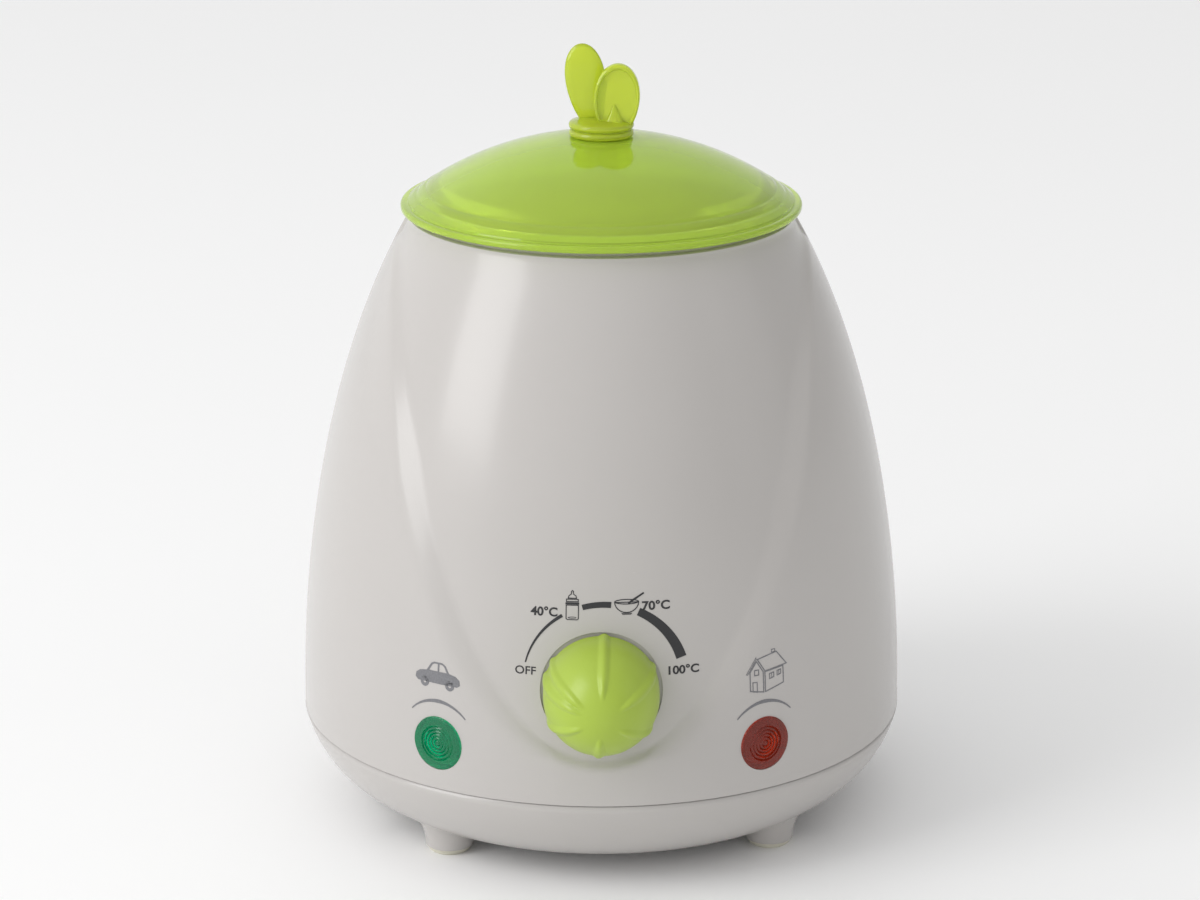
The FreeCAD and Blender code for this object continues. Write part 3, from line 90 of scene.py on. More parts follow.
class WarmerShellSizes(bpy.types.PropertyGroup):
    """Sizes of the shell."""

    radius: length("Widest radius", "Outer radius at the seam", SHELL_HIGH.x - 0.02 * MM)
    height: length("Rim height", "Height of the shell's rim", SHELL_HIGH.z)
    rim_radius: length("Rim radius", "Outer radius of the shell's rim", 44.2 * MM)
    rim_inner: length("Rim opening", "Inner radius of the shell's rim", 40.4 * MM)
    wall: length("Wall", "Thickness of the shell", 2.8 * MM)
    panel_depth: length("Panel depth", "How deep the petal panel is let in", 1.6 * MM)
    panel_half: length("Panel half width", "Half width of the petal panel", 47.0 * MM)
    panel_low: length("Panel foot", "Height of the petal panel's lowest point", 33.3 * MM)
    panel_wide: length("Panel widest height", "Height at which the petal panel is widest", 136.0 * MM)
    crease: length("Crease", "Width over which the panel's edge is rounded", 1.9 * MM)
    well_radius: length("Well radius", "Radius of the knob's well", 13.5 * MM)
    lens_hole: length("Lens hole", "Radius of a lens hole", 6.25 * MM)


class WarmerBaseSizes(bpy.types.PropertyGroup):
    """Sizes of the base's legs."""

    foot_radius: length("Foot radius", "Radius of a leg at its foot", 5.5 * MM)
    leg_ring: length("Leg ring", "Distance of the legs from the middle", 52.5 * MM)
    first_leg: turn("First leg", "Turn of the first leg", 48.0)


class WarmerKnobSizes(bpy.types.PropertyGroup):
    """Sizes of the control knob."""

    radius: length("Radius", "Radius of the knob's skirt", 12.8 * MM)
    skirt: length("Skirt", "Length of the straight skirt", 3.5 * MM)
    dome: length("Dome", "Height of the dome above the skirt", 15.0 * MM)
    wall: length("Wall", "Wall of the knob", 2.2 * MM)
    rib_height: length("Rib height", "How far a rib stands out", 0.55 * MM)
    rib_width: length("Rib width", "Width of a rib at the rim", 2.8 * MM)
    rib_start: length("Rib start", "Distance of a rib's tip from the middle", 4.0 * MM)


class WarmerLensSizes(bpy.types.PropertyGroup):
    """Sizes of the indicator lenses."""

    radius: length("Radius", "Radius of a lens", 6.2 * MM)
    turn: turn("Turn", "Turn of a lens from the front", 31.1)
    height: length("Height", "Height of the lenses", 34.8 * MM)
    ring_pitch: length("Ring pitch", "Distance between the moulded rings", 0.8 * MM)
    ring_depth: length("Ring depth", "Depth of the moulded rings", 0.32 * MM)


class WarmerChamberSizes(bpy.types.PropertyGroup):
    """Sizes of the bottle chamber's lining."""

    mouth: length("Mouth", "Inner radius of the chamber at its mouth", 38.0 * MM)
    foot: length("Foot", "Inner radius of the chamber at its floor", 36.0 * MM)
    top: length("Top", "Height of the lining's upper edge", 143.0 * MM)
    floor: length("Floor", "Height of the lining's lower edge", 44.4 * MM)
    gap: length("Gap", "Distance of the lining from the wall", 0.06 * MM)
    film: length("Film", "Thickness of the lining", 0.08 * MM)


class WarmerLidSizes(bpy.types.PropertyGroup):
    """Sizes of the lid and its grip."""

    rim: length("Rim radius", "Outer radius of the lid", LID_HIGH.x)
    step: length("Step radius", "Radius of the dome's foot", 44.4 * MM)
    wall: length("Wall", "Wall of the lid", 2.0 * MM)
    top: length("Top", "Height of the dome's top", 160.0 * MM)
    seat: length("Seat", "Height of the rim's underside", 143.3 * MM)
    spigot: length("Spigot radius", "Outer radius of the spigot", 37.4 * MM)
    collar: length("Collar radius", "Radius of the grip's collar", 7.5 * MM)


class WarmerColours(bpy.types.PropertyGroup):
    """Colours of the visible finishes."""

    white: colour("White", "Housing", (0.48, 0.459, 0.442))
    lid: colour("Lid", "Clear tinted lid", (0.68, 0.90, 0.085))
    grip: colour("Grip", "Clear tinted grip", (0.70, 0.82, 0.05))
    knob: colour("Knob", "Satin lime green", (0.36, 0.49, 0.05))
    green: colour("Green lens", "Clear tinted green", (0.003, 0.42, 0.19))
    red: colour("Red lens", "Clear tinted red", (0.50, 0.04, 0.015))
    ink: colour("Dial ink", "Printed scale", (0.018, 0.018, 0.02))
    grey_ink: colour("Symbol ink", "Printed symbols", (0.15, 0.15, 0.16))
    floor: colour("Floor", "Plain pale floor", (0.96, 0.96, 0.96))


class WarmerSettings(bpy.types.PropertyGroup):
    """All sizes and colours of the warmer."""

    shell: bpy.props.PointerProperty(type=WarmerShellSizes)
    base: bpy.props.PointerProperty(type=WarmerBaseSizes)
    knob: bpy.props.PointerProperty(type=WarmerKnobSizes)
    lens: bpy.props.PointerProperty(type=WarmerLensSizes)
    chamber: bpy.props.PointerProperty(type=WarmerChamberSizes)
    lid: bpy.props.PointerProperty(type=WarmerLidSizes)
    colours: bpy.props.PointerProperty(type=WarmerColours)


# ---------------------------------------------------------------- modelling by hand


def fresh():
    """Object mode, with nothing selected."""
    if bpy.context.object and bpy.context.object.mode != "OBJECT":
        bpy.ops.object.mode_set(mode="OBJECT")
    bpy.ops.object.select_all(action="DESELECT")


def only(obj):
    """Makes obj the one selected and active object."""
    fresh()
    obj.select_set(True)
    bpy.context.view_layer.objects.active = obj
    return obj


def line(name, points):
    """A polyline through points, left in edit mode."""
    fresh()
    bpy.ops.mesh.primitive_plane_add(size=MM)
    obj = bpy.context.object
    obj.name = obj.data.name = name
    bpy.ops.object.mode_set(mode="EDIT")
    bpy.ops.mesh.select_all(action="SELECT")
    bpy.ops.mesh.merge(type="CENTER")
    bpy.ops.transform.translate(value=points[0])
    for before, after in zip(points, points[1:]):
        step = Vector(after) - Vector(before)
        bpy.ops.mesh.extrude_vertices_move(TRANSFORM_OT_translate={"value": step})
    return obj


def turned(name, profile, arcs=((360.0, 96),), axis=(0, 0, 1), closed=False):
    """A shape spun about an axis from a profile of (radius, height) points."""
    upright = axis[2] == 1
    corners = [*profile, profile[0]] if closed else profile
    obj = line(name, [(r, 0.0, z) if upright else (r, z, 0.0) for r, z in corners])
    bpy.ops.mesh.select_all(action="SELECT")
    for degrees, steps in arcs:
        bpy.ops.mesh.spin(steps=steps, angle=math.radians(degrees), center=(0, 0, 0), axis=axis)
    bpy.ops.mesh.select_all(action="SELECT")
    bpy.ops.mesh.remove_doubles(threshold=0.002 * MM)
    bpy.ops.mesh.dissolve_degenerate(threshold=0.0001 * MM)
    bpy.ops.mesh.normals_make_consistent(inside=False)
    bpy.ops.object.mode_set(mode="OBJECT")
    return obj


def arc(centre, radius, start, end, count):
    """Points on a round corner, from one angle to another in degrees."""
    made = []
    for k in range(count + 1):
        a = math.radians(start + (end - start) * k / count)
        made.append((centre[0] + radius * math.cos(a), centre[1] + radius * math.sin(a)))
    return made


def settle(obj, matrix=None):
    """Moves obj to its place and puts that place in its mesh."""
    only(obj)
    if matrix is not None:
        obj.matrix_world = matrix
    bpy.ops.object.transform_apply(location=True, rotation=True, scale=True)
    return obj


def modify(obj, kind, **settings):
    """Adds a modifier and applies it."""
    only(obj)
    made = obj.modifiers.new(kind.title(), kind)
    for key, setting in settings.items():
        setattr(made, key, setting)
    bpy.ops.object.modifier_apply(modifier=made.name)
    return obj


def carve(obj, tool, how="DIFFERENCE"):
    """Cuts obj with a tool, joins the tool to it or keeps their common part, and drops the tool."""
    modify(obj, "BOOLEAN", object=tool, operation=how, solver="EXACT")
    bpy.data.objects.remove(tool)
    return obj


def join(first, *others):
    """Joins objects into the first one."""
    only(first)
    for obj in others:
        obj.select_set(True)
    bpy.ops.object.join()
    return first


def raised(obj, share, height):
    """Moves the surface out along its normals by height times share(place)."""
    marks = obj.vertex_groups.new(name="raised")
    for vertex in obj.data.vertices:
        part = share(vertex.co)
        if part > 0.0:
            marks.add([vertex.index], part, "REPLACE")
    modify(obj, "DISPLACE", vertex_group=marks.name, strength=height, mid_level=0.0, direction="NORMAL")
    obj.vertex_groups.remove(obj.vertex_groups["raised"])
    return obj


def smooth(obj, degrees=32.0):
    """Smooth shading with creases kept sharp."""
    only(obj)
    bpy.ops.object.shade_smooth_by_angle(angle=math.radians(degrees))
    return obj


def ease(share):
    """A soft step from 0 to 1."""
    share = min(1.0, max(0.0, share))
    return share * share * (3.0 - 2.0 * share)


def drum(name, radius, low, high, steps=96):
    """A closed drum about the upright axis."""
    return turned(name, [(0.0, low), (radius, low), (radius, high), (0.0, high)], ((360.0, steps),))


def block(name, low, high):
    """A closed box between two corners."""
    fresh()
    bpy.ops.mesh.primitive_cube_add(size=1.0)
    obj = bpy.context.object
    obj.name = name
    size = Vector(high) - Vector(low)
    middle = (Vector(high) + Vector(low)) / 2
    return settle(obj, Matrix.Translation(middle) @ Matrix.Diagonal((*size, 1.0)))


def outward(degrees, distance, height):
    """The place whose local Z points level and outward, with local Y up."""
    out = Matrix.Rotation(math.radians(degrees), 4, "Z") @ Matrix.Rotation(math.radians(90.0), 4, "X")
    away = Vector((math.sin(math.radians(degrees)), -math.cos(math.radians(degrees)), 0.0)) * distance
    return Matrix.Translation(away + Vector((0.0, 0.0, height))) @ out


def shell_radius(sizes, z):
    """Radius of the shell's egg-shaped outside at a height."""
    rise = (sizes.height - SEAM_Z) / math.sqrt(1.0 - (sizes.rim_radius / sizes.radius) ** 2)
    return sizes.radius * math.sqrt(max(0.0, 1.0 - ((z - SEAM_Z) / rise) ** 2))


def put(obj, body, slot, material, *nodes):
    """Gives a finished piece its material and its body, and hides the frame nodes it stands for; slot is not
    used.
    """
    obj.data.materials.clear()
    obj.data.materials.append(material)
    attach(obj, body)
    if nodes:
        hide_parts(*nodes)
    return obj


# ---------------------------------------------------------------- materials


class Wire:
    """A node's output that can be used in shader maths."""

    def __init__(self, finish, socket):
        self.finish = finish
        self.socket = socket

    def maths(self, operation, first, second=None):
        inputs = {0: first} if second is None else {0: first, 1: second}
        return self.finish.node("Math", {"operation": operation}, inputs)

    def __add__(self, other):
        return self.maths("ADD", self, other)

    def __sub__(self, other):
        return self.maths("SUBTRACT", self, other)

    def __rsub__(self, other):
        return self.maths("SUBTRACT", other, self)

    def __mul__(self, other):
        return self.maths("MULTIPLY", self, other)

    __radd__ = __add__
    __rmul__ = __mul__


class Finish:
    """A material being made from nodes."""

    def __init__(self, name, **constants):
        self.material = bpy.data.materials.new(name)
        self.material.use_nodes = True
        self.tree = self.material.node_tree
        self.tree.nodes.clear()
        self.shader = self.tree.nodes.new("ShaderNodeBsdfPrincipled")
        out = self.tree.nodes.new("ShaderNodeOutputMaterial")
        self.tree.links.new(self.shader.outputs[0], out.inputs[0])
        for key, setting in constants.items():
            self.shader.inputs[key.replace("_", " ").title().replace("Ior", "IOR")].default_value = setting

    def node(self, kind, settings=None, inputs=None, output=0):
        """Adds one node, sets it up, feeds its inputs and gives one of its outputs."""
        made = self.tree.nodes.new("ShaderNode" + kind)
        for key, setting in (settings or {}).items():
            setattr(made, key, setting)
        for key, feed in (inputs or {}).items():
            self.feed(made.inputs[key], feed)
        return Wire(self, made.outputs[output])

    def feed(self, socket, feed):
        """Links or sets one input."""
        if isinstance(feed, Wire):
            self.tree.links.new(feed.socket, socket)
        else:
            socket.default_value = feed

    def places(self, scale=1.0, centre=(0.0, 0.0, 0.0)):
        """Object coordinates, moved to a centre and scaled."""
        where = self.node("TexCoord", output=3)
        moved = self.node("VectorMath", {"operation": "SUBTRACT"}, {0: where, 1: centre})
        return self.node("VectorMath", {"operation": "SCALE"}, {0: moved, "Scale": scale})

    def noise(self, scale, detail=3.0, stretch=(1.0, 1.0, 1.0)):
        """Fine noise over the piece, with a scale per metre."""
        where = self.node("VectorMath", {"operation": "MULTIPLY"}, {0: self.places(), 1: stretch})
        return self.node("TexNoise", {}, {"Vector": where, "Scale": scale, "Detail": detail})

    def blend(self, share, first, second):
        """A colour between two colours."""
        settings = {"data_type": "RGBA", "clamp_factor": True}
        return self.node("Mix", settings, {0: share, 6: rgba(first), 7: rgba(second)}, 2)

    def bump(self, height, distance, strength=1.0):
        """Feeds relief to the shader's normal."""
        inputs = {"Height": height, "Distance": distance, "Strength": strength}
        self.feed(self.shader.inputs["Normal"], self.node("Bump", {}, inputs))

    def set(self, name, feed):
        """Feeds one of the shader's varying inputs."""
        self.feed(self.shader.inputs[name], feed)


def rgba(shade):
    """A colour with its alpha, or a link as it is."""
    return shade if isinstance(shade, Wire) else (*tuple(shade)[:3], 1.0)


def darker(shade, by):
    """A colour times a number."""
    return tuple(c * by for c in tuple(shade)[:3])


def moulded(name, shade, roughness, relief=0.012, grain=900.0, variation=0.04, **constants):
    """Moulded plastic: faint mottling, an uneven gloss and a fine skin."""
    finish = Finish(name, **constants)
    cloud = finish.noise(38.0, 2.0)
    low, high = darker(shade, 1.0 - variation), darker(shade, 1.0 + variation / 2)
    finish.set("Base Color", finish.blend(cloud, low, high))
    fine = finish.noise(grain, 2.0)
    finish.set("Roughness", roughness + (cloud - 0.5) * 0.06 + (fine - 0.5) * 0.05)
    finish.bump(fine * 0.7 + finish.noise(130.0, 1.0) * 0.3, relief * MM)
    return finish.material


def clear_plastic(name, shade, roughness, through, deep=0.8, **constants):
    """Tinted clear plastic with flow marks and a slightly uneven skin."""
    finish = Finish(name, ior=1.46, transmission_weight=through, **constants)
    flow = finish.noise(55.0, 2.0, (1.0, 1.0, 0.35))
    finish.set("Base Color", finish.blend(flow, darker(shade, deep), shade))
    finish.set("Roughness", roughness + (finish.noise(420.0, 2.0) - 0.5) * 0.06)
    finish.bump(finish.noise(90.0, 1.0) * 0.8 + finish.noise(700.0, 1.0) * 0.2, 0.02 * MM)
    return finish.material


def metal(name, shade, roughness, stretch):
    """Bare metal with brushing along one axis."""
    finish = Finish(name, metallic=1.0)
    brush = finish.noise(900.0, 4.0, stretch)
    finish.set("Base Color", finish.blend(brush, darker(shade, 0.82), shade))
    finish.set("Roughness", roughness + (brush - 0.5) * 0.25)
    finish.bump(brush, 0.01 * MM)
    return finish.material


def ink(name, shade):
    """Printed ink: matt, a little uneven where the pad pressed."""
    finish = Finish(name)
    press = finish.noise(2400.0, 3.0)
    finish.set("Base Color", finish.blend(press, darker(shade, 0.8), darker(shade, 1.5)))
    finish.set("Roughness", 0.42 + (press - 0.5) * 0.2)
    finish.bump(press, 0.004 * MM)
    return finish.material


FINISHES = {}


def make_finishes(colours):
    """Makes every finish once, by the name of its slot."""
    FINISHES["white_gloss"] = moulded("Gloss white housing", colours.white, 0.25, 0.01, 620.0, 0.02,
                                      coat_weight=0.2, coat_roughness=0.12)
    FINISHES["white_inner"] = moulded("White chamber", darker(colours.white, 1.02), 0.3)
    FINISHES["lid_tint"] = clear_plastic("Tinted lid", colours.lid, 0.07, 0.6, 0.92)
    FINISHES["grip_tint"] = clear_plastic("Tinted grip", colours.grip, 0.1, 0.5, 0.9)
    FINISHES["knob_green"] = moulded("Satin lime knob", colours.knob, 0.34, 0.02, 1500.0, 0.06)
    # The lenses' faint emission is a painted glow. It stands in for light caught and scattered inside the
    # lens, not for a lit lamp.
    FINISHES["lens_green"] = clear_plastic("Green lens", colours.green, 0.05, 0.85,
                                           emission_strength=0.05, emission_color=(0.0, 1.0, 0.45, 1.0))
    FINISHES["lens_red"] = clear_plastic("Red lens", colours.red, 0.05, 0.85,
                                         emission_strength=0.03, emission_color=(1.0, 0.12, 0.03, 1.0))
    FINISHES["black_plastic"] = moulded("Black moulding", (0.025, 0.025, 0.027), 0.45, 0.03, 1400.0, 0.2)
    FINISHES["grey_plastic"] = moulded("Pale grey moulding", (0.5, 0.5, 0.48), 0.4, 0.02, 1100.0, 0.1)
    FINISHES["lamp_glass"] = clear_plastic("Lamp glass", (0.4, 0.4, 0.42), 0.1, 0.5)
    FINISHES["rubber_pad"] = moulded("Rubber pad", (0.62, 0.60, 0.50), 0.62, 0.06, 2200.0, 0.1)
    FINISHES["silicone"] = moulded("Silicone seal", (0.60, 0.20, 0.12), 0.5, 0.03, 1500.0, 0.08)
    FINISHES["aluminium"] = metal("Cast aluminium", (0.78, 0.78, 0.79), 0.38, (1.0, 0.15, 1.0))
    FINISHES["steel"] = metal("Plated steel", (0.62, 0.62, 0.64), 0.3, (0.2, 1.0, 1.0))
    FINISHES["brass"] = metal("Brass tab", (0.78, 0.58, 0.25), 0.3, (1.0, 1.0, 0.2))
    FINISHES["ceramic_block"] = moulded("Heater casing", (0.55, 0.54, 0.50), 0.55, 0.05, 1800.0, 0.1)
    FINISHES["wire_skin"] = moulded("Wire skin", (0.05, 0.05, 0.06), 0.42, 0.03, 1600.0, 0.15)
    FINISHES["dial_ink"] = ink("Dial ink", colours.ink)
    FINISHES["symbol_ink"] = ink("Symbol ink", colours.grey_ink)


class WARMER_OT_finishes(bpy.types.Operator):
    """Makes the materials and gives them to the frame's own nodes"""

    bl_idname = "warmer.finishes"
    bl_label = "Finishes"

    def execute(self, context):
        make_finishes(context.scene.warmer.colours)
        slots = {part["node"]: part["material_slot"] for part in frame["record"]["subparts"]}
        for name, obj in frame["nodes"].items():
            for place in obj.material_slots:
                place.material = FINISHES[slots[name]]
        return {"FINISHED"}


# ---------------------------------------------------------------- shell and base


def petal_share(sizes, place):
    """1 well inside the petal panel's outline, 0 outside it, with a soft edge between."""
    if place.y > 0.0 or place.z > sizes.height - 0.2 * MM:
        return 0.0
    tall = sizes.panel_wide - sizes.panel_low
    x, z = place.x / sizes.panel_half, (place.z - sizes.panel_wide) / tall
    if z >= 0.0:
        off = (abs(x) - 1.0) * sizes.panel_half
    else:
        ring = math.hypot(x, z)
        slope = math.hypot(x / sizes.panel_half, z / tall)
        off = (ring - 1.0) * ring / slope if slope > 0.0 else -sizes.panel_half
    return ease(0.5 - off / sizes.crease)


def follow_panel(shell, sizes):
    """Slides the front's upright edge lines round the shell until one runs along the panel's edge."""
    tall = sizes.panel_wide - sizes.panel_low
    quarter = math.pi / 2
    for vertex in shell.data.vertices:
        place = vertex.co
        if place.y > -0.001 * MM:
            continue
        level = min(1.0, abs(sizes.panel_wide - place.z) / tall)
        round_here = shell_radius(sizes, min(place.z, sizes.panel_wide))
        half = sizes.panel_half * math.sqrt(1.0 - level ** 2) / round_here
        edge = min(math.radians(82.0), max(math.radians(9.0), math.asin(min(1.0, half))))
        around = math.atan2(place.x, -place.y)
        share = abs(around) / quarter
        moved = 2.0 * share * edge if share < 0.5 else edge + (2.0 * share - 1.0) * (quarter - edge)
        moved = math.copysign(moved, around)
        reach = place.xy.length
        vertex.co = (reach * math.sin(moved), -reach * math.cos(moved), place.z)


def shell_profile(sizes, rows=140, inner_rows=14):
    """Outline of the shell's wall, closed at the seam."""
    low, high = SEAM_Z, sizes.height
    edge = 0.8 * MM
    points = []
    for k in range(rows + 1):
        z = low + (high - edge - low) * k / rows
        points.append((shell_radius(sizes, z), z))
    points += arc((points[-1][0] - edge, high - edge), edge, 10.0, 90.0, 4)
    points += [(sizes.rim_inner + 0.3 * MM, high), (sizes.rim_inner, high - 0.3 * MM)]
    points.append((sizes.rim_inner, high - 2.5 * MM))
    for k in range(inner_rows + 1):
        z = high - 2.5 * MM - (high - 2.5 * MM - low) * k / inner_rows
        points.append((shell_radius(sizes, z) - sizes.wall, z))
    points.append((sizes.radius - 0.3 * MM, low))
    return points


class WARMER_OT_shell(bpy.types.Operator):
    """Egg-shaped shell with the petal panel, the knob's well, lens holes and the rear bay"""

    bl_idname = "warmer.shell"
    bl_label = "Shell"

    def execute(self, context):
        sizes = context.scene.warmer.shell
        lens = context.scene.warmer.lens
        shell = turned("warmer_shell", shell_profile(sizes), ((-180.0, 420), (-180.0, 70)), closed=True)
        follow_panel(shell, sizes)

        def panel(place):
            outside = shell_radius(sizes, place.z)
            if place.xy.length < outside - sizes.wall / 2:
                return 0.0
            level = (place.z - SEAM_Z) / (sizes.height - SEAM_Z)
            return petal_share(sizes, place) * math.sqrt(max(0.0, 1.0 - level ** 4))

        raised(shell, panel, -sizes.panel_depth)
        skin = shell.vertex_groups.new(name="skin")
        for vertex in shell.data.vertices:
            place = vertex.co
            outer = place.xy.length > shell_radius(sizes, place.z) - 0.7 * sizes.wall
            if outer and place.y < 0.0 and SEAM_Z + 3.0 * MM < place.z < sizes.height - 3.0 * MM:
                skin.add([vertex.index], 1.0, "REPLACE")
        modify(shell, "SMOOTH", factor=0.5, iterations=2, vertex_group="skin")
        shell.vertex_groups.clear()

        hull_rows = []
        for k in range(9):
            z = SEAM_Z + k * 6.0 * MM
            hull_rows.append((shell_radius(sizes, z) - 2.0 * MM, z))
        knob_foot = -KNOB_HIGH.y
        bay_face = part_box("mains_inlet")[1].y - 1.2 * MM

        def hull():
            return turned("hull_tool", [(0.0, SEAM_Z), *hull_rows, (0.0, hull_rows[-1][1])], ((360.0, 180),))

        cup = drum("cup_tool", sizes.well_radius + 1.8 * MM, 0.0, 12.0 * MM)
        settle(cup, outward(0.0, knob_foot - 2.3 * MM, KNOB_Z))
        carve(cup, hull(), "INTERSECT")
        bay_low = (-32.0 * MM, bay_face - 2.2 * MM, 26.8 * MM)
        bay = block("bay_tool", bay_low, (32.0 * MM, 75.0 * MM, 45.2 * MM))
        carve(bay, hull(), "INTERSECT")
        carve(shell, cup, "UNION")
        carve(shell, bay, "UNION")

        well = drum("well_tool", sizes.well_radius, 0.0, 14.0 * MM, 128)
        carve(shell, settle(well, outward(0.0, knob_foot - 0.5 * MM, KNOB_Z)))
        for side in (-1, 1):
            hole = drum("lens_tool", sizes.lens_hole, 0.0, 14.0 * MM)
            where = outward(side * math.degrees(lens.turn), 62.0 * MM, lens.height)
            carve(shell, settle(hole, where))
        space = block("space_tool", (-80.0 * MM, bay_face, 29.0 * MM), (80.0 * MM, 90.0 * MM, 43.0 * MM))
        carve(shell, space)
        for node in ("mains_inlet", "low_voltage_inlet"):
            low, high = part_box(node)
            middle = (low + high) / 2
            round_end = (high.z - low.z) / 2 - 0.8 * MM
            reach = (high.x - low.x) / 2 - 0.8 * MM - round_end
            for side in (-1, 1):
                end = drum("inlet_tool", round_end, -12.0 * MM, 12.0 * MM)
                upright = Matrix.Rotation(math.radians(90.0), 4, "X")
                spot = Vector((middle.x + side * reach, high.y, middle.z))
                carve(shell, settle(end, Matrix.Translation(spot) @ upright))
            if reach > 0.5 * MM:
                corner = Vector((reach, 12.0 * MM, round_end))
                spot = Vector((middle.x, high.y, middle.z))
                carve(shell, block("inlet_tool", spot - corner, spot + corner))
        smooth(shell, 34.0)
        put(shell, "housing", "white_gloss", FINISHES["white_gloss"], "body_shell")
        return {"FINISHED"}


class WARMER_OT_base(bpy.types.Operator):
    """Base with each leg flared softly into its flank"""

    bl_idname = "warmer.base"
    bl_label = "Base"

    def execute(self, context):
        sizes = context.scene.warmer.base
        fresh()
        node = frame["nodes"]["base_cover"]
        base = node.copy()
        base.data = node.data.copy()
        base.name = base.data.name = "warmer_base"
        context.scene.collection.objects.link(base)
        only(base)
        bpy.ops.object.mode_set(mode="EDIT")
        bpy.ops.mesh.select_all(action="SELECT")
        bpy.ops.mesh.remove_doubles(threshold=0.002 * MM)
        bpy.ops.object.mode_set(mode="OBJECT")
        foot = sizes.foot_radius
        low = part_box("foot_pads")[1].z
        flare = [(0.0, low), (foot, low)]
        slope = ((0.8, 0.25), (2.0, 0.8), (3.4, 1.7), (5.2, 3.1))
        slope += ((7.0, 4.5), (8.8, 5.7), (10.6, 6.6), (11.6, 6.8))
        for rise, out in slope:
            flare.append((foot + out * MM, low + rise * MM))
        flare.append((0.0, low + 11.6 * MM))
        hollow = [(0.0, 6.0 * MM), (50.0 * MM, 6.0 * MM)]
        hollow += arc((46.24 * MM, 29.35 * MM), 23.6 * MM, -80.0, -14.0, 24)
        hollow.append((0.0, hollow[-1][1]))
        for k in range(4):
            turn_to = sizes.first_leg + k * math.pi / 2
            leg = turned("leg_flare", flare, ((360.0, 72),))
            place = Matrix.Rotation(turn_to, 4, "Z") @ Matrix.Translation((sizes.leg_ring, 0.0, 0.0))
            settle(leg, place)
            carve(leg, turned("hollow_tool", hollow, ((360.0, 120),)))
            carve(base, leg, "UNION")
        smooth(base, 34.0)
        put(base, "housing", "white_gloss", FINISHES["white_gloss"], "base_cover")
        return {"FINISHED"}


# ---------------------------------------------------------------- knob, lenses, lid


class WARMER_OT_knob(bpy.types.Operator):
    """Domed control knob with seven moulded grip ribs"""

    bl_idname = "warmer.knob"
    bl_label = "Knob"

    def execute(self, context):
        sizes = context.scene.warmer.knob
        radius, skirt, dome = sizes.radius, sizes.skirt, sizes.dome
        profile = [(radius - sizes.wall, 0.0), (radius - 0.3 * MM, 0.0), (radius, 0.3 * MM)]
        profile += [(radius, skirt * k / 6) for k in range(1, 6)]
        for k in range(72 + 1):
            a = math.radians(90.0 * k / 72)
            profile.append((radius * math.cos(a), skirt + dome * math.sin(a)))
        inner, rise = radius - sizes.wall, dome - sizes.wall
        for k in range(18, -1, -1):
            a = math.radians(90.0 * k / 18)
            profile.append((inner * math.cos(a), skirt + rise * math.sin(a)))
        knob = turned("control_dial", profile, ((360.0, 240),), closed=True)

        ribs = [87.0 - 60.0 * k for k in range(6)] + [164.0]

        def rib(place):
            reach = place.xy.length
            if reach < sizes.rib_start or place.z < 0.2 * MM or reach < inner and place.z < skirt:
                return 0.0
            level = (place.z - skirt) / dome
            if level > 0.0 and (reach / radius) ** 2 + level ** 2 < 0.96:
                return 0.0
            if level <= 0.0 and reach < radius - 0.5 * MM:
                return 0.0
            best = 0.0
            for degrees in ribs:
                a = math.radians(degrees)
                along = place.x * math.cos(a) + place.y * math.sin(a)
                across = abs(place.y * math.cos(a) - place.x * math.sin(a))
                if along <= sizes.rib_start:
                    continue
                grown = min(1.0, (along - sizes.rib_start) / (4.5 * MM))
                half = sizes.rib_width / 2 * (0.35 + 0.65 * grown)
                best = max(best, ease(1.0 - across / half) ** 0.75 * ease(grown * 1.6))
            return best

        raised(knob, rib, sizes.rib_height)
        settle(knob, outward(0.0, -KNOB_HIGH.y, KNOB_Z))
        smooth(knob, 40.0)
        put(knob, "knob", "knob_green", FINISHES["knob_green"], "control_knob")
        return {"FINISHED"}


